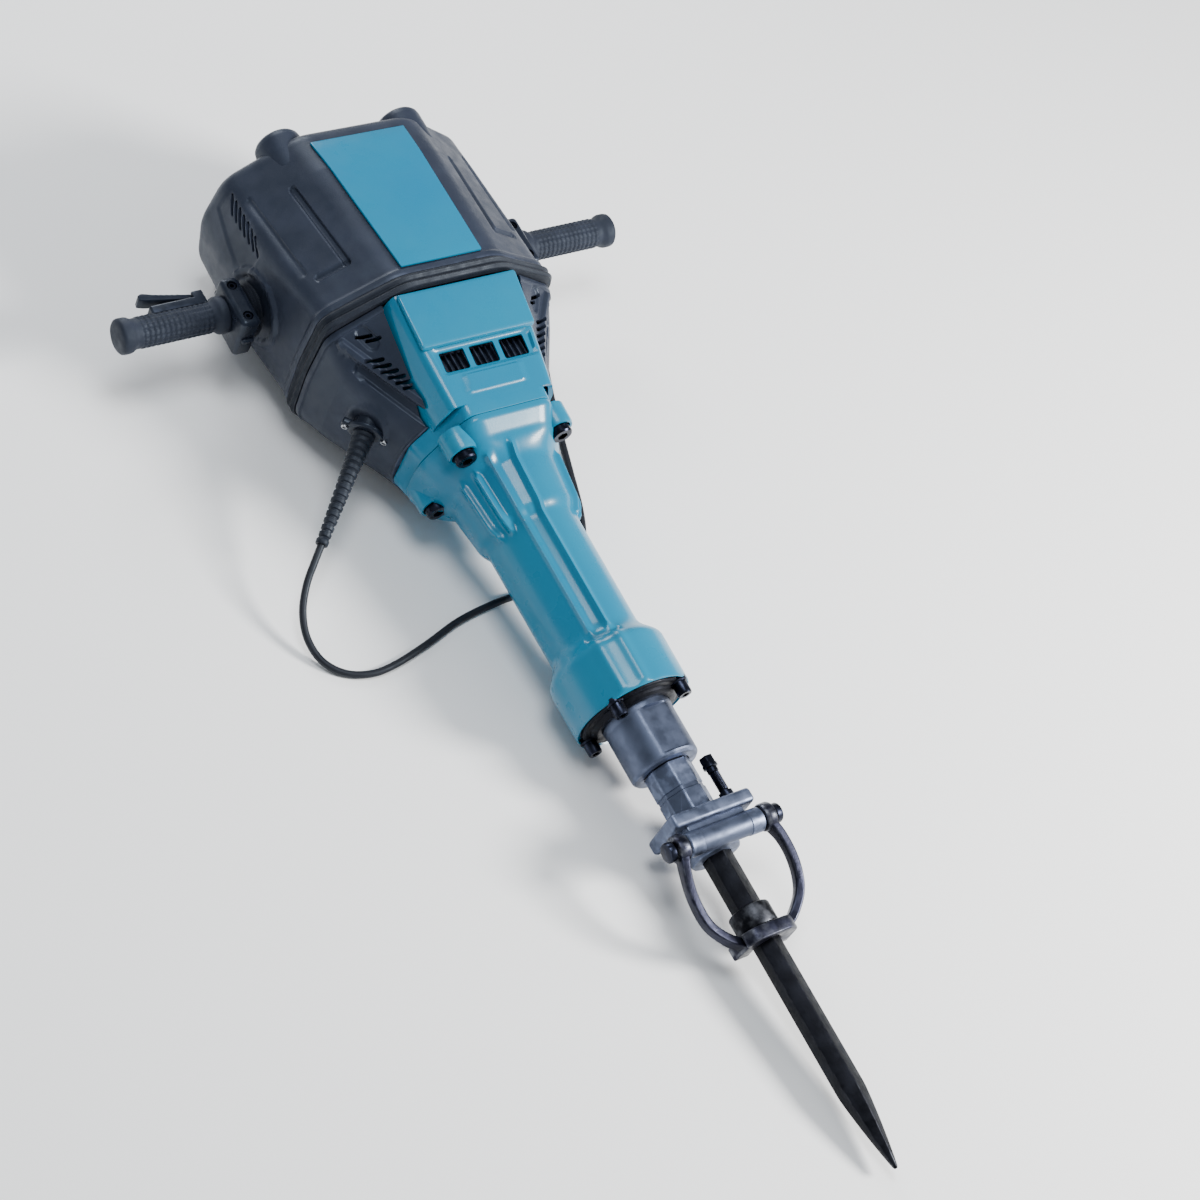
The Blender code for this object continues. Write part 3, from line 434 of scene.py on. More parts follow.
def machined(name, colour, roughness=0.34, scale=1.0):
    """Turned steel with fine tool marks round its axis and an oily film."""
    finish = Finish(name, colour, roughness, 1.0)
    oily = tuple(c * 0.35 for c in colour)
    finish.tint(finish.ramp(finish.noise(30, 6), 0.42, 0.75, 0.0, 0.55), oily)
    finish.tint(finish.edges(0.52, 0.6), tuple(min(1.0, c * 2.6) for c in colour))
    finish.vary(finish.noise(70, 6), roughness - 0.1, roughness + 0.14)
    finish.bump(finish.noise(1400 * scale, 2, (0.02, 1.0, 0.02)), 0.00006, 0.4)
    return finish.material


def forged(name, colour, roughness=0.5):
    """Black forging scale, pitted, rubbed bright on its edges."""
    finish = Finish(name, colour, roughness, 0.85)
    scale = tuple(c * 2.4 + 0.004 for c in colour)
    finish.tint(finish.ramp(finish.noise(55, 8), 0.45, 0.7, 0.0, 0.7), scale)
    finish.tint(finish.edges(0.52, 0.6), (0.2, 0.21, 0.24))
    finish.vary(finish.noise(110, 7), roughness - 0.14, roughness + 0.14)
    finish.bump(finish.noise(240, 6), 0.00045, 0.35)
    finish.bump(finish.cells(520), 0.00018, 0.25)
    return finish.material


def soft_rubber(name, colour, roughness=0.62):
    """Moulded rubber: matt, finely dimpled, greyed where hands rub it."""
    finish = Finish(name, colour, roughness)
    greyed = tuple(c * 2.2 + 0.008 for c in colour)
    finish.tint(finish.ramp(finish.noise(34, 5), 0.45, 0.8, 0.0, 0.45), greyed)
    finish.vary(finish.noise(90, 4), roughness - 0.1, roughness + 0.12)
    finish.bump(finish.cells(1300), 0.00012, 0.6)
    finish.set(Specular_IOR_Level=0.32, Specular_Tint=(0.76, 0.87, 1.0, 1.0), Sheen_Weight=0.02)
    return finish.material


def wound_copper(name):
    """Varnished copper wire laid side by side, with painted shade in the grooves between the wires."""
    finish = Finish(name, (0.42, 0.14, 0.04), 0.32, 1.0)
    wires = finish.node("ShaderNodeTexWave", {"Vector": finish.where, "Scale": 420.0, "Distortion": 1.5},
                        bands_direction="Z").outputs["Fac"]
    # painted shade: the grooves between the wires are darkened
    finish.tint(finish.ramp(wires, 0.2, 0.5, 0.8, 0.0), (0.08, 0.02, 0.008))
    finish.vary(finish.noise(60), 0.25, 0.45)
    return finish.bump(wires, 0.0003, 0.8).material


def circuit(name):
    """Green solder mask with copper tracks under potting resin."""
    finish = Finish(name, (0.012, 0.1, 0.045), 0.3)
    tracks = finish.node("ShaderNodeTexBrick", {"Vector": finish.where, "Scale": 160.0}).outputs["Fac"]
    finish.tint(finish.ramp(tracks, 0.4, 0.6), (0.05, 0.26, 0.1))
    return finish.bump(tracks, 0.0002, 0.5).set(Coat_Weight=0.4).material


BLACK = grained_plastic("black_plastic", (0.018, 0.0225, 0.037))
BLACK_SMOOTH = grained_plastic("black_plastic_smooth", (0.008, 0.0105, 0.0185), 0.32)
TEAL = enamel("teal_enamel", (0.0005, 0.168, 0.285))
TEAL_PLATE = enamel("teal_plate", (0.0005, 0.172, 0.3))
NOSE_STEEL = machined("nose_steel", (0.105, 0.125, 0.185), 0.46)
BOLT_STEEL = machined("bolt_steel", (0.014, 0.016, 0.026), 0.3, 2.0)
BRIGHT_STEEL = machined("bright_steel", (0.46, 0.47, 0.5), 0.26)
FORGED = forged("forged_black", (0.0048, 0.0054, 0.0085))
BAIL_STEEL = forged("bail_steel", (0.012, 0.013, 0.024), 0.4)
GRIP_RUBBER = soft_rubber("grip_rubber", (0.012, 0.015, 0.025))
BOOT_RUBBER = soft_rubber("boot_rubber", (0.0065, 0.0082, 0.014), 0.55)
CORD_RUBBER = soft_rubber("cord_rubber", (0.008, 0.008, 0.011), 0.48)
CAST_ALUMINIUM = machined("cast_aluminium", (0.5, 0.51, 0.52), 0.42, 0.4)
COPPER = wound_copper("field_winding")
BOARD = circuit("controller_board")

INNER_FINISHES = {
    CAST_ALUMINIUM: ("bearing_plate", "rear_bearing_bracket", "piston"),
    COPPER: ("rear_field_coil", "front_field_coil", "commutator"),
    BOARD: ("speed_controller",),
    BLACK_SMOOTH: ("fan",),
    FORGED: ("striker", "impact_bolt", "counterweight"),
    BRIGHT_STEEL: ("left_brush_holder", "right_brush_holder", "rear_motor_bearing", "front_motor_bearing",
                   "intermediate_bearing", "crank_bearing", "crank_pin", "piston_pin", "lever_pin",
                   "intermediate_shaft", "rotor_shaft", "cylinder", "lower_spring_ring", "upper_spring_ring"),
    NOSE_STEEL: ("stator_core", "rotor_core", "intermediate_gear", "crank_gear", "crankshaft",
                 "connecting_rod", "handle_yoke"),
    BOLT_STEEL: ("left_handle_bar", "right_handle_bar"),
    BOOT_RUBBER: ("switch_plunger",),
}


def dress_inner_nodes():
    """The CAD's own solids inside the machine get their finishes."""
    for material, names in INNER_FINISHES.items():
        for name in names:
            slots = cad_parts[name].data.materials
            slots.clear()
            slots.append(material)


# ---------------------------------------------------------------- camera, lights and floor

CAMERA_PLACE = Vector((-1.4131, -0.8258, 2.1653))
CAMERA_BACK, CAMERA_UP = Vector((-0.5215, -0.3447, 0.7805)), Vector((0.252, 0.8118, 0.5268))


def aim(obj, place, target):
    """Puts an object at a place with its -Z axis towards the target."""
    obj.location = place
    obj.rotation_euler = (Vector(target) - Vector(place)).to_track_quat("-Z", "Y").to_euler()


def studio():
    """The camera, a key light, a fill, a rim light, a pale sky and a pale floor."""
    camera = added("camera", bpy.data.cameras.new("camera"))
    back = CAMERA_BACK.normalized()
    right = CAMERA_UP.cross(back).normalized()
    turn = Matrix((right, back.cross(right), back)).transposed().to_4x4()
    camera.matrix_world = TOOL @ Matrix.Translation(CAMERA_PLACE) @ turn
    camera.data.lens, camera.data.sensor_width = 79.45, 36.0
    camera.data.clip_start, camera.data.clip_end = 0.05, 60.0
    bpy.context.scene.camera = camera
    for name, place, size, energy, tint in (("key", (1.9, -1.5, 1.7), 0.8, 185, (1.0, 0.99, 0.97)),
                                            ("fill", (-0.4, 0.2, 2.9), 1.2, 46, (0.92, 0.96, 1.0)),
                                            ("rim", (0.2, 2.6, 1.4), 1.2, 40, (0.97, 0.98, 1.0))):
        light = bpy.data.lights.new(name, "AREA")
        light.shape, light.size, light.energy, light.color = "DISK", size, energy, tint
        aim(added(name, light), place, (0, 0.1, 0.05))
    world = bpy.data.worlds.new("sky")
    world.use_nodes = True
    world.node_tree.nodes["Background"].inputs["Color"].default_value = (0.88, 0.94, 1.0, 1.0)
    world.node_tree.nodes["Background"].inputs["Strength"].default_value = 0.42
    bpy.context.scene.world = world
    floor = added("floor", block((-9, 9), (-9, 9), (-0.05, 0.0), 0.001, 1))
    pale = Finish("pale_floor", (0.96, 0.96, 0.96), 0.85)
    floor.data.materials.append(pale.bump(pale.noise(300), 0.0001, 0.2).material)


# ---------------------------------------------------------------- cord, coil and plug

def smooth_path(points, step):
    """Points about one step apart on a smooth curve through the given ones."""
    knots = [Vector(p) for p in points]
    out = []
    for k in range(len(knots) - 1):
        a, b = knots[k], knots[k + 1]
        before = knots[k - 1] if k else a - (b - a)
        after = knots[k + 2] if k + 2 < len(knots) else b + (b - a)
        count = max(1, round((b - a).length / step))
        for s in range(count):
            t = s / count
            out.append(0.5 * (2 * a + (b - before) * t + (2 * before - 5 * a + 4 * b - after) * t ** 2
                              + (3 * a - before - 3 * b + after) * t ** 3))
    return out + [knots[-1]]


def coil_route(per_turn=30):
    """The coil's turns: each layer spirals in or out in three turns, then climbs in one."""
    points = []
    for k in range(round(COIL_TURNS * per_turn) + 1):
        turns = k / per_turn
        layer, part = divmod(turns, 4)
        outer = COIL_RADIUS if layer % 2 == 0 else COIL_RADIUS - 3 * COIL_PITCH
        inward = -1 if layer % 2 == 0 else 1
        radius = outer + inward * COIL_PITCH * min(part, 3)
        climb = max(0.0, part - 3)
        radius += inward * 0.001 * math.sin(math.pi * climb)
        height = COIL_LOW + COIL_PITCH * (layer + climb * climb * (3 - 2 * climb))
        angle = 2 * math.pi * turns
        points.append((COIL_CENTRE[0] + radius * math.cos(angle), COIL_CENTRE[1] + radius * math.sin(angle),
                       height))
    return points


def power_cord(plug):
    """The whole cord in one curve: the lead, its coil beside the head and the tail to the plug."""
    route = smooth_path(CORD_ROUTE + coil_route() + TAIL_ROUTE, 0.005)
    curve = bpy.data.curves.new("power_cord", "CURVE")
    curve.dimensions = "3D"
    curve.bevel_depth, curve.bevel_resolution, curve.use_fill_caps = CORD_RADIUS, 4, True
    spline = curve.splines.new("POLY")
    spline.points.add(len(route) - 1)
    spline.points.foreach_set("co", [value for p in route for value in (*p, 1.0)])
    cord = piece("power_cord", curve, CORD_RUBBER, "cord_lead", "cord_coil", "cord_tail", place=IDENTITY)
    tie = cord_tie()


def cord_tie():
    """A flat strap closed round the coil's bundle."""
    inner, outer = COIL_RADIUS - 3 * COIL_PITCH - 0.005, COIL_RADIUS + 0.0054
    low, high = 0.0002, COIL_LOW + 3 * COIL_PITCH + 0.0048
    path = fillet([(inner, low), (outer, low), (outer, high), (inner, high)], 0.004, 6)
    rings = []
    for k, p in enumerate(path):
        ahead = (path[(k + 1) % len(path)] - path[k - 1]).normalized()
        normal = Vector((ahead.y, -ahead.x))
        rings.append([(normal.x * t + p.x, w, p.y + normal.y * t) for t, w in
                      ((0.0, -0.006), (-0.0005, -0.0065), (-0.0005, 0.0065), (0.0, 0.006))])
    strap = grid(rings, closed=True)
    place = Matrix.Translation((*COIL_CENTRE, 0)) @ Matrix.Rotation(math.radians(118), 4, "Z")
    return piece("coil_tie", strap, BLACK_SMOOTH, place=place)


PLUG_STATIONS = ((0.0, 0.0062, 0.0062), (0.027, 0.0085, 0.0085), (0.032, 0.0130, 0.0105),
                 (0.050, 0.0180, 0.0128), (0.0615, 0.0180, 0.0128), (0.0640, 0.0166, 0.0115))


def power_plug():
    """Flat two-pin plug on its broad side, with finger ribs and a ribbed strain relief."""
    rings = []
    for back in np.linspace(0.0, PLUG_STATIONS[-1][0], 97):
        half, high = between(PLUG_STATIONS, back)
        corner = min(0.006, high * 0.98)
        sunk = 0.0012 * (0.002 < back < 0.026) * (math.sin(back * 2 * math.pi / 0.0045) > 0.2)
        sunk += 0.001 * (0.034 < back < 0.05) * (math.sin(back * 2 * math.pi / 0.004) > 0.3)
        half, high = half - sunk, high - sunk * (back < 0.03)
        ring = fillet([(half, high), (half, -high), (-half, -high), (-half, high)], corner, 5)
        rings.append([(PLUG_X + p.x, PLUG_REAR - back, PLUG_Z + p.y) for p in ring])
    body = piece("plug_body", grid(rings, True, True, angle=30), CORD_RUBBER, "power_plug", place=IDENTITY)
    pin = [(0, 0.083), (0.0012, 0.083), (0.0024, 0.0812), (0.0024, 0.0715), (0.0021, 0.071),
           (0.0021, 0.06), (0, 0.06)]
    pins = [turned(pin, 24, at(PLUG_X + x, PLUG_REAR, PLUG_Z, "-Y")) for x in (-0.0095, 0.0095)]
    prongs = piece("plug_pins", merged(*pins), BRIGHT_STEEL, place=IDENTITY)
    prongs.parent = body
    return body


# ---------------------------------------------------------------- housings

FILLET_STEPS = 6
STRETCHES = (14, 14, 8, 16, 8, 14, 14)     # points on the straights between the corners from cheek to cheek


def floor_line(y):
    """Depth of the ground behind the tool's axis at y."""
    return -COLLAR_RADIUS - y * math.tan(TILT)


def section(y, half, front, flat, shoulder, back_half, heel, crown, lift, corner=0.014, cheek=56):
    """A housing's outline at y: flat front, slanted cheeks, crowned sides and flat back.

    half and front are its reach to the side and to the front, flat and back_half are the half widths
    of its front and back, shoulder and heel are where each side starts and ends, crown is how far the
    side bulges, and lift is the back's height over the ground. cheek is the points on each cheek.
    """
    back = floor_line(y) + lift
    right = [(flat, front), (half, shoulder), (half + crown, (shoulder + heel) / 2), (half, heel),
             (back_half, back)]
    corners = fillet(right + [(-x, z) for x, z in right[::-1]], corner, FILLET_STEPS)
    per = FILLET_STEPS + 1
    ring = []
    for k, count in enumerate((cheek, *STRETCHES, cheek, 28)):
        arc = corners[per * k:per * (k + 1)]
        after = corners[per * (k + 1) % len(corners)]
        ring += arc + [arc[-1].lerp(after, (s + 1) / (count + 1)) for s in range(count)]
    return [(p.x, y, p.y) for p in ring]


def between(stations, y):
    """The section sizes at y, from a table whose rows start with their own y."""
    table = np.array(stations, float)
    return [float(np.interp(y, table[:, 0], column)) for column in table[:, 1:].T]


def grown(sizes, by, raised=0.0):
    """Section sizes with the outline moved outwards and its back raised from where it is."""
    half, front, flat, shoulder, back_half, heel, crown, lift = sizes
    wider = 0.4 * by
    outline = (half + by, front + by, flat + wider, shoulder + wider, back_half + wider)
    return *outline, heel, crown, lift + raised


def on_cheek(places, normals):
    """Places of both halves as (across the cheek, along Y), and how squarely each faces the cheek's way."""
    across = CHEEK_UP * np.abs(places[:, 0]) - CHEEK_OUT * places[:, 2]
    facing = CHEEK_OUT * np.abs(normals[:, 0]) + CHEEK_UP * normals[:, 2]
    return np.column_stack([across, places[:, 1]]), smooth(0.3, 0.6, facing)


def groove(places, a, b, width, depth, soft=0.0018):
    """A round-ended groove of the given depth along a segment."""
    return -depth * (1 - smooth(width / 2, width / 2 + soft, to_line(places, a, b)))


def slot_cutter(centre, direction, length, width, depth, normal):
    """A round-ended slot's body through a wall, along a direction in it."""
    direction, normal = Vector(direction).normalized(), Vector(normal).normalized()
    side = normal.cross(direction).normalized()
    direction = side.cross(normal)
    outline = []
    for end in (1, -1):
        for k in range(7):
            angle = math.pi * (k / 6 - 0.5) + (0 if end > 0 else math.pi)
            reach = end * (length - width) / 2 + width / 2 * math.cos(angle)
            outline.append((reach, width / 2 * math.sin(angle)))
    place = Matrix.Translation(centre) @ Matrix((direction, side, normal)).transposed().to_4x4()
    return moved(prism(outline, -depth / 2, depth / 2), place)


MOTOR_STATIONS = ((0.4970, 0.1410, 0.1195, 0.0600, 0.0740, 0.1050, -0.0700, 0.0040, 0.0),
                  (0.5050, 0.1410, 0.1190, 0.0602, 0.0735, 0.1055, -0.0702, 0.0045, 0.0),
                  (0.5800, 0.1460, 0.1130, 0.0640, 0.0600, 0.1120, -0.0760, 0.0090, 0.0),
                  (0.6600, 0.1490, 0.1060, 0.0690, 0.0480, 0.1120, -0.0780, 0.0110, 0.0),
                  (0.7040, 0.1480, 0.0990, 0.0700, 0.0440, 0.1100, -0.0780, 0.0110, 0.0))


def motor_relief(places, normals):
    """Moulded detail of the motor housing: rim bead, cheek panel, handle boss and vent field."""
    cheek, facing = on_cheek(places, normals)
    y, z = places[:, 1], places[:, 2]
    seen = 1 - smooth(0.5, 0.75, -normals[:, 2])
    side = smooth(0.125, 0.138, np.abs(places[:, 0]))
    height = 0.002 * band(y, 0.499, 0.505, 0.0018) * seen
    height += groove(cheek, (0.0266, 0.655), (0.014, 0.543), 0.0045, 0.0036, 0.0024) * facing
    height += groove(cheek, (0.014, 0.543), (0.0482, 0.543), 0.004, 0.0028, 0.0024) * facing
    height += groove(cheek, (0.0733, 0.672), (0.0596, 0.556), 0.003, 0.0018, 0.0024) * facing
    out = np.hypot(y - HANDLE_Y, z - HANDLE_Z)
    height += 0.003 * band(out, 0.0375, 0.044, 0.002) * side
    field = band(y, 0.613, 0.696, 0.003) * band(z - 0.3 * (y - 0.655), 0.008, 0.052, 0.003)
    return height - 0.0016 * field * side * (normals[:, 2] < 0.55)


def motor_housing():
    """Black upper shell with a rounded top, a sunk top panel, vents and holes for the handle bars."""
    rings = [section(SEAM_TOP, *grown(between(MOTOR_STATIONS, SEAM_TOP), -0.0012))]
    rings += [section(y, *between(MOTOR_STATIONS, y)) for y in np.linspace(SEAM_TOP + 0.0012, HEAD_EDGE, 104)]
    sizes = between(MOTOR_STATIONS, HEAD_EDGE)
    for k in range(1, 9):
        angle = math.pi / 2 * k / 8
        inset = HEAD_ROUND * (1 - math.cos(angle))
        half, front, flat, shoulder, back_half, heel, crown, lift = grown(sizes, -inset)
        y = HEAD_EDGE + HEAD_ROUND * math.sin(angle)
        rings.append(section(y, half, front, flat, shoulder, back_half, heel + 0.5 * inset, crown, inset))
    last = np.array(rings[-1])
    middle = last.mean(axis=0)
    for scale, y in ((0.965, 0.7202), (0.95, 0.72), (0.938, 0.718), (0.925, 0.7172), (0.6, 0.7178),
                     (0.2, 0.718)):
        rings.append((last - middle) * (scale, 0, scale) + (middle[0], y, middle[2]))
    mesh = moulded(rings, MOTOR_WALL, motor_relief, True)
    cutters = []
    for side in (-1, 1):
        for k in range(7):
            middle = Vector((side * 0.152, 0.683 - 0.0102 * k, 0.04 + 0.0004 * k))
            cutters.append(slot_cutter(middle, (0, -0.8, -0.6), 0.025, 0.0044, 0.04, (side, 0, 0.15)))
        cutters.append(rod(0.018, 0.03, -0.03, 48, at(side * 0.15, HANDLE_Y, HANDLE_Z, "X")))
        for k in range(5):
            centre = (side * 0.06, 0.716, -0.075 + 0.014 * k)
            cutters.append(slot_cutter(centre, (1, 0, 0), 0.062, 0.004, 0.02, (0, 1, 0)))
    piece("motor_shell", carved(mesh, merged(*cutters)), BLACK, "motor_housing")


def corner_caps():
    """Two rounded screw towers on the head's front corners, with their sunk screws."""
    tower = [(0, 0.7285), (0.0062, 0.7285), (0.007, 0.7335), (0.0078, 0.7345), (0.0195, 0.7348),
             (0.024, 0.7336), (0.0262, 0.7305), (0.027, 0.726), (0.0272, 0.688), (0, 0.688)]
    for side, word in SIDES:
        cap = turned(fillet(tower, 0.0008, 3, False), 64, at(side * 0.076, 0, 0.064, "Y"))
        piece(word + "_corner_cap", cap, BLACK)
        screw = moved(socket_screw(0.0052, 0.0035), at(side * 0.076, 0.7284, 0.064, "Y"))
        piece(word + "_corner_screw", screw, BOLT_STEEL)


def socket_screw(radius, height, socket=0.55):
    """A socket-head screw's head standing on local Z = 0, with a hexagonal recess."""
    head = turned([(0, height), (radius * 0.9, height), (radius, height * 0.86), (radius, 0.0003),
                   (radius * 0.97, 0), (0, 0)], 40)
    return carved(head, prism(polygon(6, radius * socket), height * 0.35, height * 1.5))


def let_on(stations, thickness, bevel):
    """A plate that stands on a slanted front. stations are (y, left, right, front)."""
    rings = []
    first, last = stations[0][0], stations[-1][0]
    for y in [first, first + bevel * 0.3, first + bevel, *np.linspace(first, last, 14)[1:-1], last - bevel,
              last - bevel * 0.3, last]:
        left, right, front = between(stations, y)
        end = max(0.0, bevel - min(y - first, last - y)) / bevel
        inset = bevel * (1 - math.sqrt(1 - end * end))
        left, right = left + inset, right - inset
        low, high = front + GAP, front + thickness - inset
        corners = fillet([(left, high), (right, high), (right, low), (left, low)],
                         (bevel, bevel, 0.0003, 0.0003), 5)
        rings.append([(p.x, y, p.y) for p in corners])
    return grid(rings, True, True)


def front_plates():
    """Glossy stripe on the motor housing and the raised plate on the gear case."""
    stripe = ((0.5075, -0.053, 0.047, 0.1192), (0.58, -0.0565, 0.05, 0.113),
              (0.66, -0.06, 0.0535, 0.106), (0.698, -0.062, 0.055, 0.1))
    piece("front_stripe_plate", let_on(stripe, 0.003, 0.0009), TEAL_PLATE, "front_stripe")
    cover = ((0.4135, -0.07, 0.07, 0.1003), (0.477, -0.0735, 0.0735, 0.1128))
    piece("gear_case_cover", let_on(cover, 0.0056, 0.0032), TEAL, "gear_cover")


def seam_band():
    """Rubber band between the housings with two raised beads and a groove between them."""
    sizes = (0.1425, 0.1215, 0.0602, 0.0762, 0.1035, -0.0715, 0.004, 0.0)
    rings = []
    for y in np.linspace(SEAM_BOTTOM + GAP, SEAM_TOP - GAP, 29):
        bead = 0.003 * (math.exp(-((y - 0.4845) / 0.0022) ** 2) + math.exp(-((y - 0.4928) / 0.0022) ** 2))
        rings.append(section(y, *grown(sizes, bead - 0.0004)))
    for y in (SEAM_TOP - GAP, SEAM_BOTTOM + GAP):
        inner = (0.1345, 0.114, 0.056, 0.07, 0.098, -0.066, 0.004, -0.103 - floor_line(y))
        rings.append(section(y, *inner))
    piece("seam_gasket", grid(rings, closed=True), BOOT_RUBBER, "seam_band", slot="black_plastic")


COVER_STATIONS = ((0.3550, 0.0920, 0.0840, 0.0560, 0.0200, 0.0560, -0.0450, 0.0040, 0.0083),
                  (0.3610, 0.0925, 0.0842, 0.0560, 0.0202, 0.0565, -0.0452, 0.0040, 0.0083),
                  (0.3900, 0.1070, 0.0940, 0.0580, 0.0260, 0.0660, -0.0500, 0.0040, 0.0045),
                  (0.4400, 0.1310, 0.1090, 0.0580, 0.0420, 0.0900, -0.0600, 0.0040, 0.0020),
                  (0.4740, 0.1400, 0.1180, 0.0580, 0.0640, 0.1030, -0.0680, 0.0040, 0.0016),
                  (0.4800, 0.1400, 0.1180, 0.0580, 0.0640, 0.1030, -0.0680, 0.0040, 0.0022))


def cover_relief(places, normals):
    """Ridge, recess, vent pocket and rim bead of the lower cover."""
    cheek, facing = on_cheek(places, normals)
    y = places[:, 1]
    seen = 1 - smooth(0.5, 0.75, -normals[:, 2])
    ridge = to_line(cheek, (0.0619, 0.466), (0.0116, 0.356))
    height = 0.0048 * (1 - smooth(0.0024, 0.0064, ridge)) * facing
    height += groove(cheek, (0.0596, 0.4375), (0.027, 0.36), 0.007, 0.0042, 0.004) * facing
    height += groove(cheek, (0.0371, 0.464), (0.0342, 0.453), 0.011, 0.0026, 0.0036) * facing
    height += 0.0018 * band(y, 0.473, 0.4785, 0.0015) * seen
    height -= 0.0012 * band(y, 0.357, 0.359, 0.001) * seen
    gland = np.linalg.norm(places - np.array(GUARD_ROOT), axis=1)
    return height + 0.0022 * (1 - smooth(0.023, 0.027, gland))


def lower_cover():
    """Black cover round the gear case, with its vent ladders, ridges and a window for the casting."""
    def ring(y, by=0.0, raised=0.0):
        return section(y, *grown(between(COVER_STATIONS, y), by, raised), cheek=104)

    rings = [ring(y) for y in np.linspace(COVER_BOTTOM + 0.001, SEAM_BOTTOM - 0.0008, 140)]
    rings = [ring(COVER_BOTTOM, -0.001), *rings, ring(SEAM_BOTTOM, -0.0008)]
    inner = [ring(y, -MOTOR_WALL, MOTOR_WALL) for y in np.linspace(COVER_BOTTOM, SEAM_BOTTOM, 14)]
    mesh = relief(grid(rings + inner[::-1], closed=True), cover_relief, skin=len(rings) * len(rings[0]))
    cutters = []
    for side in (-1, 1):
        direction, normal = (side * -0.8, -0.32, 0.51), (side * 0.62, -0.05, 0.78)
        top, bottom = Vector((side * 0.104, 0.437, 0.066)), Vector((side * 0.08, 0.395, 0.065))
        for k in range(6):
            length = 0.0215 - 0.003 * (k / 5)
            cutters.append(slot_cutter(top.lerp(bottom, k / 5), direction, length, 0.0044, 0.03, normal))
        for k in range(2):
            centre = (side * (0.1085 - 0.009 * k), 0.4625 - 0.007 * k, 0.077)
            cutters.append(slot_cutter(centre, direction, 0.019, 0.004, 0.03, normal))
    window = grid([[(-0.0745, 0.34, 0), (0.0745, 0.34, 0), (0.0745, 0.34, 0.14), (-0.0745, 0.34, 0.14)],
                   [(-0.087, 0.49, 0), (0.087, 0.49, 0), (0.087, 0.49, 0.14), (-0.087, 0.49, 0.14)]],
                  True, True)
    hole = rod(0.015, 0.03, -0.03, 40, along(GUARD_ROOT, GUARD_TIP))
    piece("lower_shell", carved(mesh, merged(*cutters), window, hole), BLACK, "lower_cover")


CASE_STATIONS = ((0.3480, 0.0732, 0.0868, 0.0620, 0.0600, 0.0560, -0.0400, 0.0, 0.0357),
                 (0.4790, 0.0855, 0.1130, 0.0760, 0.0850, 0.0660, -0.0450, 0.0, 0.0476))
FLANGE_STATIONS = ((0.3345, 0.0850, 0.0855, 0.0500, 0.0180, 0.0520, -0.0440, 0.0, 0.0124),
                   (0.3545, 0.0905, 0.0875, 0.0500, 0.0200, 0.0520, -0.0440, 0.0, 0.0093))
OPENING = (0.066, 0.08, 0.05, 0.044, 0.046, -0.032, 0.0, 0.043)


def case_relief(places, normals):
    """Blank raised plate and the sunk exhaust field on the gear case's front."""
    x, y = places[:, 0], places[:, 1]
    front = smooth(0.6, 0.8, normals[:, 2])
    height = 0.0018 * band(x, -0.036, 0.034, 0.0012) * band(y, 0.359, 0.379, 0.0012)
    height -= 0.003 * band(x, -0.056, 0.06, 0.0015) * band(y, 0.385, 0.412, 0.0015)
    return height * front


def gear_case():
    """Teal casting round the crank, with its flange, exhaust windows and a dark grille behind them."""
    rings = [section(y, *between(CASE_STATIONS, y), 0.008) for y in np.linspace(0.348, 0.479, 66)]
    case = moulded(rings, CASTING_WALL, case_relief)
    rings = []
    low, high = FLANGE_FACE, COVER_BOTTOM - 0.0005
    for y, by in ((low, -0.0012), (low + 0.0004, -0.0004), (low + 0.0012, 0.0), (high - 0.0012, 0.0),
                  (high - 0.0004, -0.0004), (high, -0.0012)):
        rings.append(section(y, *grown(between(FLANGE_STATIONS, y), by), 0.008))
    rings += [section(y, *OPENING, 0.008) for y in (high, low)]
    case = fused(case, grid(rings, closed=True))
    windows = []
    for left in (-0.051, -0.014, 0.023):
        right, low, high = left + 0.0305, 0.387, 0.41
        outline = fillet([(left, low), (right, low), (right, high), (left, high)], 0.003, 4)
        windows.append(prism(outline, 0.08, 0.12))
    piece("gear_case", carved(case, merged(*windows)), TEAL, "gear_housing")
    fins = [block((-0.056, 0.063), (0.3835, 0.4135), (0.08, 0.0818), 0.0005, 2)]
    for k in range(17):
        x = -0.0535 + 0.0071 * k
        fins.append(block((x - 0.0008, x + 0.0008), (0.385, 0.412), (0.0815, 0.0875), 0.0004, 2))
    piece("exhaust_grille", merged(*fins), BLACK_SMOOTH)


BARREL_PROFILE = ((0.0, 0.0655), (0.0600, 0.0660), (0.0740, 0.0540), (0.0820, 0.0505), (0.2240, 0.0515),
                  (0.2340, 0.0575), (0.2900, 0.0640), (0.3600, 0.0700))


def barrel_relief(places, normals):
    """The pair of long ribs and their pads on the collar, the finger ribs and the low side ribs."""
    x, y, z = places.T
    turn = np.degrees(np.arctan2(x, z))
    around = np.abs(turn)
    arc = np.radians(1) * np.hypot(x, z)

    def rib(angle, width, low, high, rise, soft):
        """A rib along Y, at one angle round the barrel if that is below 0, else at it on both sides."""
        share = np.exp(-(((turn if angle < 0 else around) - angle) * arc / width) ** 2)
        return rise * share * band(y, low, high, soft)

    height = rib(-9, 0.0032, 0.08, 0.3, 0.005, 0.006) + rib(-31, 0.0032, 0.08, 0.296, 0.004, 0.006)
    height += rib(-9, 0.006, 0.006, 0.064, 0.0024, 0.006) + rib(-31, 0.006, 0.006, 0.064, 0.002, 0.006)
    height += rib(50, 0.0036, 0.222, 0.286, 0.006, 0.008) + rib(67, 0.0036, 0.222, 0.286, 0.006, 0.008)
    height += rib(100, 0.006, 0.09, 0.22, 0.0022, 0.01)
    return height - 0.0024 * band(y, 0.069, 0.072, 0.0016) * band(turn, -38, -2, 4)


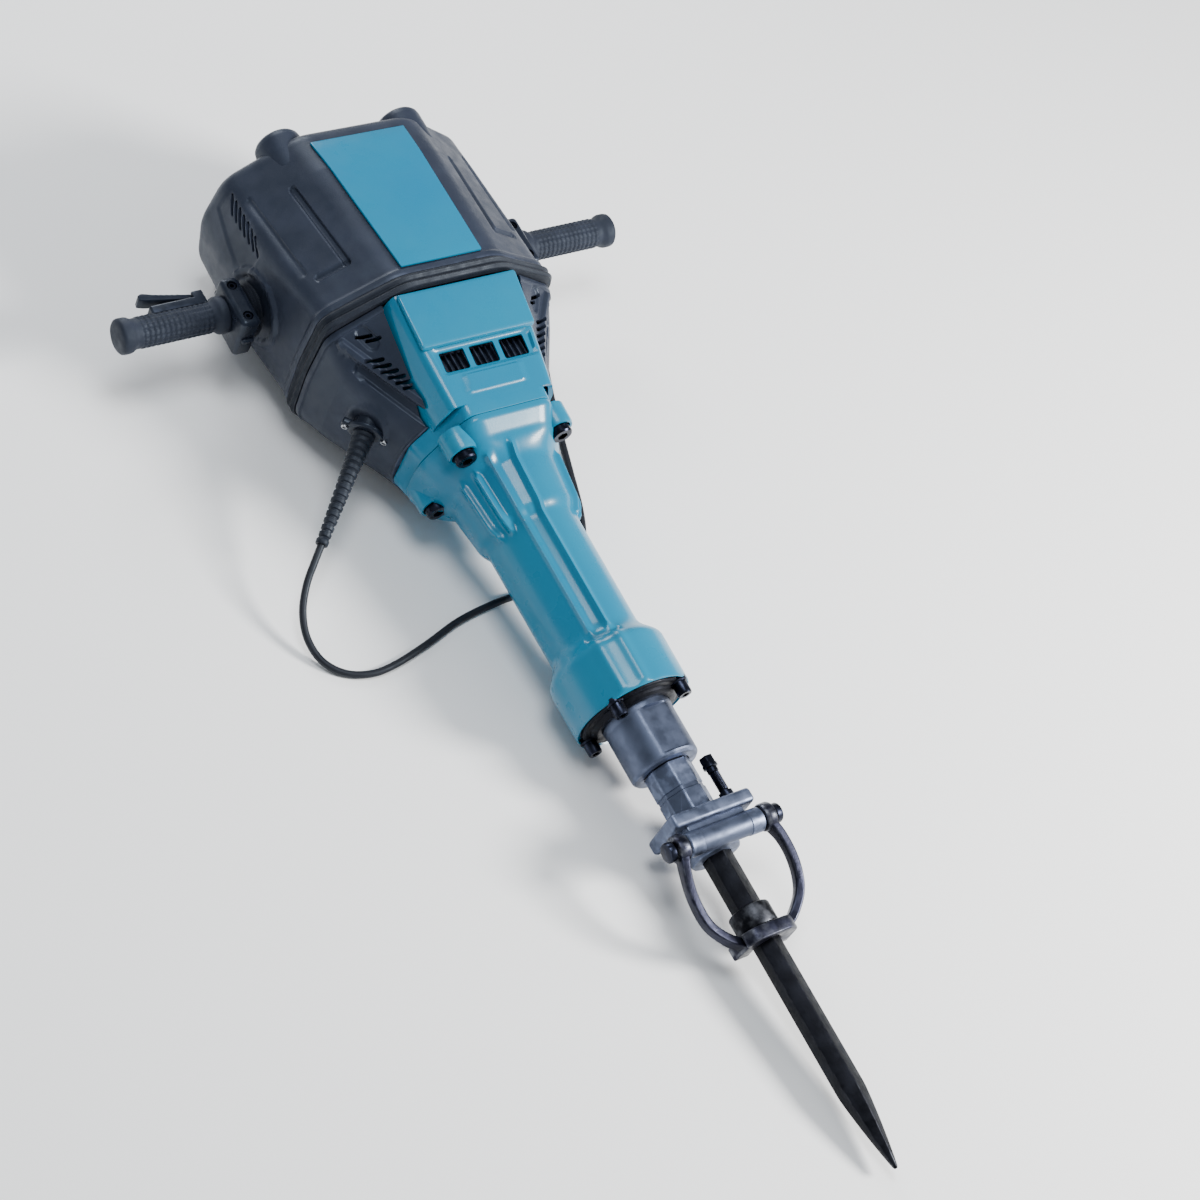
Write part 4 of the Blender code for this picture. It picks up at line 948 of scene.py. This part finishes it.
def barrel():
    """Teal barrel from the gear case's flange down to the collar."""
    spots = np.array(BARREL_PROFILE)
    root = 0.312
    flange = np.array(section(root, 0.078, 0.074, 0.046, 0.016, 0.048, -0.04, 0.004,
                              -0.076 - floor_line(root)))
    angles = np.arctan2(flange[:, 0], flange[:, 2])
    rings = []
    for y in [0.0, 0.0006, 0.0018, *np.linspace(0.004, 0.31, 122)]:
        radius = float(np.mean(np.interp(y + np.linspace(-0.004, 0.004, 9), spots[:, 0], spots[:, 1])))
        radius -= 0.0016 * (1 - math.sqrt(1 - max(0.0, 1 - y / 0.0018) ** 2))
        ring = np.column_stack([radius * np.sin(angles), np.full(len(angles), y), radius * np.cos(angles)])
        share = float(smooth(0.284, 0.314, y))
        rings.append(ring * (1 - share) + (flange + (0, y - root, 0)) * share)
    ends = ((root, 0.078, 0.074, 0.046, 0.016, 0.048, -0.04, 0.004, 0.0184),
            (0.328, 0.085, 0.0855, 0.05, 0.018, 0.052, -0.044, 0.004, 0.0119),
            (0.334, 0.085, 0.0855, 0.05, 0.018, 0.052, -0.044, 0.004, 0.0124))
    rings += [section(y, *between(ends, y)) for y in np.linspace(0.313, 0.3335, 11)]
    rings.append(section(FLANGE_FACE - GAP, *grown(between(ends, 0.334), -0.0008)))
    piece("barrel_casting", moulded(rings, CASTING_WALL, barrel_relief), TEAL, "barrel")


def flange_bolts():
    """Four bosses on the barrel's shoulder, each with a large socket-head bolt from below."""
    for side, word in SIDES:
        for x, z, row, low in ((0.06, 0.056, "front", 0.308), (0.07, -0.028, "back", 0.302)):
            boss = [(0, 0.3338), (0.0176, 0.3338), (0.017, low + 0.003), (0.0158, low), (0.0136, low),
                    (0.0128, low + 0.0015), (0.0128, low + 0.004), (0, low + 0.004)]
            piece(f"{word}_{row}_boss", turned(boss, 48, at(side * x, 0, z, "Y")), TEAL)
            head = moved(socket_screw(0.012, 0.013, 0.52), at(side * x, low + 0.0042, z, "-Y"))
            piece(f"{word}_{row}_bolt", head, BOLT_STEEL)


# ---------------------------------------------------------------- nose, retainer and bit

PIVOT = at(0, PIVOT_Y, PIVOT_Z, "X")


def nose():
    """Stepped web under the collar, nose sleeve with a milled flat in front, and its four bolts."""
    web = [(0.059, 0.003), (0.0585, 0.0004), (0.056, -0.0012), (0.05, -0.0012), (0.048, -0.004),
           (0.045, -0.0062), (0.0386, -0.0062), (0.0386, 0.003)]
    piece("nose_web", turned(fillet(web, 0.0006, 3), 72, at(axis="Y"), True), FORGED)
    outer = [(0.0603, 0.016), (0.0603, 0.004), (0.0385, 0.004)]
    outer += [(0.0385, y) for y in np.linspace(0.003, -0.012, 6)]
    outer += [(0.038, y) for y in np.linspace(-0.0135, -0.0665, 28)]
    outer += [(0.0374, -0.0685), (0.0355, -0.0706), (0.0335, -0.071), (0.0262, -0.071), (0.0256, -0.07),
              (0.0256, 0.016)]
    sleeve = turned(outer, 96, at(axis="Y"), True)
    for vertex in sleeve.vertices:
        if -0.066 < vertex.co.y < -0.0125:
            vertex.co.z = min(vertex.co.z, 0.0345)
    piece("nose_sleeve_steel", polish(sleeve, 25), NOSE_STEEL, "nose_sleeve")
    for k, angle in enumerate((45, 135, 225, 315)):
        spot = Matrix.Rotation(math.radians(angle), 4, "Y") @ Vector((0, 0, 0.056))
        boss = [(0, 0.0036), (0.0098, 0.0036), (0.0098, -0.001), (0.0088, -0.0022), (0, -0.0022)]
        body = fused(turned(boss, 40, at(spot.x, 0, spot.z, "Y")),
                     moved(socket_screw(0.0078, 0.014), at(spot.x, -0.002, spot.z, "-Y")))
        piece(f"nose_bolt_{k + 1}", body, BOLT_STEEL)


def octagon_ring(y, across, corner=0.0022):
    """An eight-sided outline with softened corners at y."""
    reach = across / 2 / math.cos(math.pi / 8)
    points = [(reach * math.sin(math.pi * (k + 0.5) / 4), reach * math.cos(math.pi * (k + 0.5) / 4))
              for k in range(8)]
    return [(p.x, y, p.y) for p in fillet(points, corner, 3)]


def tool_holder():
    """Eight-sided neck, cross plate, hub and pivot barrel in one steel body, bored for the shank."""
    flats = ((-0.0715, 0.0478), (-0.0722, 0.049), (-0.099, 0.0492), (-0.1, 0.0472),
             (-0.104, 0.0472), (-0.105, 0.0492), (-0.14, 0.0492))
    neck = grid([octagon_ring(y, across) for y, across in flats], True, True)
    plate = block((-0.05, 0.05), (-0.146, -0.13), (-0.024, 0.04), 0.0045, 4)
    hub = [(0, -0.13), (0.028, -0.13), (0.028, -0.1735), (0.0268, -0.1755), (0.024, HOLDER_END),
           (0, HOLDER_END)]
    barrel_end = [(0, 0.046), (0.0118, 0.046), (0.013, 0.0448), (0.013, 0.03), (0.0124, 0.0292),
                  (0.0124, -0.0292), (0.013, -0.03), (0.013, -0.0448), (0.0118, -0.046), (0, -0.046)]
    web = block((-0.036, 0.036), (-0.166, -0.14), (0.012, 0.033), 0.003, 3)
    body = fused(neck, plate, turned(hub, 64, at(axis="Y")), web, turned(barrel_end, 48, PIVOT))
    bore = moved(prism(polygon(6, 0.0172, math.radians(30)), -0.2, -0.06), at(axis="Y"))
    body = carved(body, bore, rod(0.0069, 0.06, -0.06, 32, PIVOT))
    piece("tool_holder_steel", body, NOSE_STEEL, "tool_holder")
    seat = [(0, 0.03), (0.0395, 0.03), (0.0395, 0.017), (0.025, 0.0165), (0.025, -0.07),
            (0.018, -0.07), (0.018, 0.02), (0, 0.02)]
    piece("holder_seat", turned(seat, 48, at(axis="Y")), NOSE_STEEL)


def retainer_pin_and_bolt():
    """The bail's shaft with its domed heads, and the side bolt with a collar and a hexagonal head."""
    half = [(0, 0.0705), (0.0072, 0.0705), (0.0098, 0.0698), (0.0105, 0.0685), (0.0105, 0.0636),
            (0.0099, 0.0628), (0.0065, 0.0628)]
    profile = half + [(radius, -height) for radius, height in half[::-1]]
    piece("bail_shaft", turned(profile, 40, PIVOT), BOLT_STEEL, "retainer_shaft")
    head = prism(fillet(polygon(6, 0.008), 0.0006, 2), -0.0905, -0.0812, 0.0008, 2)
    stem = [(0, -0.0895), (0.0076, -0.0895), (0.008, -0.0905), (0.008, -0.0935), (0.006, -0.0945),
            (0.006, -0.099), (0.005, -0.1)]
    for k in range(12):
        low = -0.101 - 0.0017 * k
        stem += [(0.0055, low), (0.005, low - 0.0008)]
    stem += [(0.005, -0.1224), (0.0075, -0.123), (0.0078, -0.1297), (0, -0.1297)]
    bolt = moved(fused(head, turned(stem, 32)), at(0.0315, 0, 0.0245, "Y"))
    piece("retainer_side_bolt", bolt, BOLT_STEEL, "retainer_bolt", slot="forged_steel")


def bail():
    """Forged bail: bossed eyes, flattened bowed arms and a fork under the bit's collar."""
    notch = 0.0158
    arc = [(notch * math.cos(math.pi * k / 16), notch * math.sin(math.pi * k / 16)) for k in range(17)]
    outline = fillet([(-0.033, 0.014), (-0.022, 0.026), (0.022, 0.026), (0.033, 0.014),
                      (0.033, -0.016), (notch, -0.016)], (0.006, 0.008, 0.008, 0.006, 0.004, 0.001), 4)
    outline += [Vector(p) for p in arc]
    outline += fillet([(-notch, -0.016), (-0.033, -0.016)], (0.0, 0.0), 1)
    fork = moved(prism([(x, -z) for x, z in outline][::-1], FORK_BOTTOM, FORK_TOP, 0.0016), at(axis="Y"))
    eye = [(0, 0.0605), (0.012, 0.0605), (0.0138, 0.0598), (0.0146, 0.0582), (0.0146, 0.05),
           (0.0136, 0.0482), (0.0118, 0.0475), (0, 0.0475)]
    path = [(0.0545, -0.164, 0.031), (0.0558, -0.174, 0.0306), (0.06, -0.188, 0.0288),
            (0.0628, -0.206, 0.0242), (0.0618, -0.226, 0.0182), (0.056, -0.244, 0.0118),
            (0.042, -0.26, 0.0058), (0.027, -0.27, 0.002)]

    def arm(share):
        thick = 0.005
        wide = 0.0058 + 0.003 * math.exp(-(share / 0.16) ** 2) + 0.0016 * float(smooth(0.75, 1, share))
        corners = [(thick, wide), (thick, -wide), (-thick, -wide), (-thick, wide)]
        return fillet(corners, 0.0026, 4)

    bodies, holes = [], []
    for side, place in ((-1, at(0, PIVOT_Y, PIVOT_Z, "-X")), (1, PIVOT)):
        bodies.append(turned(eye, 48, place))
        bodies.append(ribbon(smooth_path([(side * x, y, z) for x, y, z in path], 0.003), arm))
        holes.append(rod(0.007, 0.075, 0.035, 32, place))
    body = carved(fused(fork, *bodies), *holes[::-1])
    piece("retainer_bail_forging", body, BAIL_STEEL, "retainer_bail", body="bail")


def hexagon_ring(y, corner, softness=0.0012):
    """A six-sided outline with softened edges at y, its corners to front and back."""
    points = [(corner * math.sin(math.pi * k / 3), corner * math.cos(math.pi * k / 3)) for k in range(6)]
    return [(p.x, y, p.y) for p in fillet(points, min(softness, corner * 0.3), 3)]


def bit():
    """Bull point: chamfered hexagonal shank, turned collar, and a bar that tapers to its point."""
    bar = [(BIT_TIP, 0.0016), (-0.5262, 0.0028), (-0.518, 0.0046), (-0.5, 0.0078), (-0.48, 0.0109),
           (-0.46, 0.0135), (-0.446, 0.015), (-0.44, 0.0152)]
    bar += [(float(y), 0.0152) for y in np.linspace(-0.43, BIT_COLLAR_BOTTOM - 0.001, 12)]
    shank = [(BIT_COLLAR_BOTTOM - 0.0005, SHANK_CORNER), (BIT_COLLAR_TOP + 0.002, SHANK_CORNER),
             (-0.16, SHANK_CORNER), (BIT_TOP - 0.004, SHANK_CORNER), (BIT_TOP, 0.0132)]
    body = grid([hexagon_ring(y, corner) for y, corner in bar + shank], True, True, angle=20)
    collar = [(0, BIT_COLLAR_TOP), (0.0195, BIT_COLLAR_TOP), (0.0218, -0.2394), (0.0225, -0.2412),
              (0.0225, -0.26), (0.0216, -0.2622), (0.0195, BIT_COLLAR_BOTTOM), (0, BIT_COLLAR_BOTTOM)]
    body = fused(body, turned(collar, 64, at(axis="Y")))
    piece("bull_point_bit", body, FORGED, "bull_point", body="bit")


# ---------------------------------------------------------------- handles and switch

def knurl(places, normals):
    """Raised diamonds round a grip whose axis is local Z, fading out at its plain ends."""
    around = np.arctan2(places[:, 1], places[:, 0])
    rows = places[:, 2] * 2 * math.pi / 0.012
    diamonds = np.sin(9 * around + rows) * np.sin(9 * around - rows)
    radius = np.hypot(places[:, 0], places[:, 1])
    outside = (radius > 0.015) & (radius < 0.0172)
    field = band(places[:, 2], 0.21, 0.289, 0.003)
    return 0.0009 * np.clip(diamonds * 2.2, -0.6, 1.0) * field * outside


def on_bar(side):
    """A place on a handle bar's axis whose local Z points out to its side."""
    return TOOL @ Matrix.Translation((0, HANDLE_Y, HANDLE_Z)) @ Matrix.Rotation(math.pi / 2 * side, 4, "Y")


def grips():
    """Rubber grips: flanged root, knurled body and a rounded end bulb."""
    end = HANDLE_REACH
    for side, word in SIDES:
        profile = [(0, end), (0.012, end), (0.0168, end - 0.0008), (0.019, end - 0.0026),
                   (0.0196, end - 0.005), (0.0196, end - 0.011), (0.0188, end - 0.0138),
                   (0.0172, end - 0.0165)]
        profile += [(0.0165, float(z)) for z in np.linspace(end - 0.019, 0.206, 96)]
        profile += [(0.017, 0.204), (0.0182, 0.2018), (0.0198, 0.2), (0.0204, 0.1985), (0.0204, 0.1922),
                    (0.0198, 0.1906), (0.0185, 0.1903), (0.0114, 0.1903), (0.0114, 0.3103), (0, 0.3103)]
        mesh = relief(turned(profile, 96), knurl, 40)
        piece(word + "_grip_rubber", mesh, GRIP_RUBBER, word + "_grip", body="handles", place=on_bar(side))


def brackets_and_boots():
    """Clamp brackets on the handle bars with their screws, and the rubber bellows at the housing."""
    bellows = [(0.0115, 0.1666), (0.025, 0.1666), (0.0272, 0.1656), (0.0262, 0.1643), (0.0292, 0.163),
               (0.028, 0.1616), (0.0312, 0.1602), (0.03, 0.159), (0.029, 0.1586), (0.029, 0.1578),
               (0.0115, 0.1578)]
    screw_x, screw_rows = 0.1792, (0.56, 0.601)
    for side, word in SIDES:
        body = fused(block((0.1684, 0.19), (0.548, 0.613), (-0.044, 0.012), 0.0055, 4),
                     block((0.1668, 0.1712), (0.552, 0.609), (-0.04, 0.008), 0.0015, 3),
                     block((0.172, 0.1864), (0.5445, 0.6165), (-0.019, -0.013), 0.002, 3))
        wells = [rod(0.0058, 0.02, -0.005, 32, at(screw_x, y, 0.012)) for y in screw_rows]
        clamp = carved(body, rod(0.0114, 0.2, 0.15, 40, at(0, HANDLE_Y, HANDLE_Z, "X")), merged(*wells))
        screws = merged(*[moved(socket_screw(0.0046, 0.004), at(screw_x, y, 0.007)) for y in screw_rows])
        for mesh in (clamp, screws):
            mesh.transform(Matrix.Diagonal((side, 1, 1, 1)))
            if side < 0:
                mesh.flip_normals()
        piece(word + "_clamp", clamp, BLACK_SMOOTH, word + "_bracket", body="handles")
        piece(word + "_clamp_screws", screws, BOLT_STEEL, body="handles")
        boot = turned(bellows, 64, closed=True)
        piece(word + "_boot", boot, BOOT_RUBBER, body="handles", place=on_bar(side))


def switch():
    """Switch base under the left grip's flange and the paddle lever with finger ribs."""
    z = HANDLE_Z
    base = block((-0.27, -0.2045), (0.594, 0.6085), (z - 0.0125, z + 0.0125), 0.0028, 4)
    ears = [block((-0.218, -0.2055), (0.6, 0.6148), (middle - 0.002, middle + 0.002), 0.0012)
            for middle in (z - 0.0105, z + 0.0105)]
    base = carved(fused(base, *ears), rod(0.0172, 0.1, -0.02, 64, at(-0.28, HANDLE_Y, z, "X")),
                  block((-0.228, -0.2), (0.6055, 0.62), (z - 0.0085, z + 0.0085), 0.0006),
                  rod(0.0034, 0.02, -0.02, 32, at(-0.24, 0.6, z, "Y")))
    piece("switch_body", base, BLACK_SMOOTH, "switch_base", body="handles")
    upper = [(0.004, 0.0035), (-0.01, 0.0034), (-0.03, 0.0037), (-0.046, 0.0042), (-0.056, 0.0056),
             (-0.0605, 0.006), (-LEVER_LENGTH, 0.0035)]
    lower = [(-LEVER_LENGTH, -0.0018), (-0.058, -0.003), (-0.03, -0.0026), (-0.01, -0.0025),
             (0.004, -0.003)]
    radii = (0.0016, 0, 0, 0.002, 0.003, 0.002, 0.0012, 0.0012, 0.002, 0, 0, 0.0016)
    outline = fillet(upper + lower, radii, 4)
    paddle = prism(outline[::-1], -0.0078, 0.0078, 0.0012)
    ribs = [block((-x - 0.0009, -x + 0.0009), (0.003, 0.003 + rise), (-0.0064, 0.0064), 0.0005, 2)
            for x, rise in ((0.02, 0.0017), (0.026, 0.0018), (0.032, 0.0019), (0.038, 0.002),
                            (0.044, 0.0022))]
    paddle = carved(fused(paddle, *ribs), rod(0.0023, 0.02, -0.02))
    place = TOOL @ Matrix.Translation((LEVER_X, LEVER_Y, z)) @ Matrix.Rotation(-LEVER_RISE, 4, "Z")
    piece("trigger_paddle", paddle, BLACK_SMOOTH, "switch_lever", body="lever", place=place)


# ---------------------------------------------------------------- cord entry

def cord_entry():
    """Clamp collar with two screw lugs where the cord comes out, and the long ribbed guard."""
    place = TOOL @ along(GUARD_ROOT, GUARD_TIP)
    collar = [(0.0146, -0.008), (0.0146, 0.006), (0.02, 0.0066), (0.0206, 0.0084), (0.0196, 0.0112),
              (0.016, 0.0122), (0.0044, 0.0122), (0.0044, -0.008)]
    body = turned(fillet(collar, 0.0006, 3), 64, closed=True)
    lugs = [block((x - 0.0058, x + 0.0058), (-0.0062, 0.0062), (0.003, 0.0108), 0.0022, 3)
            for x in (-0.021, 0.021)]
    screws = [moved(socket_screw(0.0038, 0.0028), at(x, 0, 0.0104)) for x in (-0.0222, 0.0222)]
    piece("cord_clamp", fused(body, *lugs), BLACK_SMOOTH, "cord_gland", place=place)
    piece("cord_clamp_screws", merged(*screws), BRIGHT_STEEL, place=place)
    reach = (GUARD_TIP - GUARD_ROOT).length
    outer = [(0.0044, reach), (0.0062, reach), (0.0068, reach - 0.0008), (0.007, reach - 0.005),
             (0.0062, reach - 0.0064)]
    ribs = 15
    for k in range(ribs):
        top = reach - 0.0085 - (reach - 0.024) * k / ribs
        radius = float(np.interp(top, (0.015, 0.06, reach), (0.0122, 0.009, 0.0062)))
        outer += [(radius - 0.0012, top), (radius, top - 0.0012), (radius + 0.0003, top - 0.005),
                  (radius - 0.0012, top - 0.0062)]
    outer += [(0.0122, 0.015), (0.0124, 0.0128), (0.0044, 0.0128)]
    piece("cord_guard_rubber", turned(outer, 48, closed=True), BOOT_RUBBER, "cord_guard", place=place)


studio()
power_cord(power_plug())
for build in (motor_housing, corner_caps, front_plates, seam_band, lower_cover, gear_case, barrel,
              flange_bolts, nose, tool_holder, retainer_pin_and_bolt, bail, bit, grips, brackets_and_boots,
              switch, cord_entry):
    build()

dress_inner_nodes()
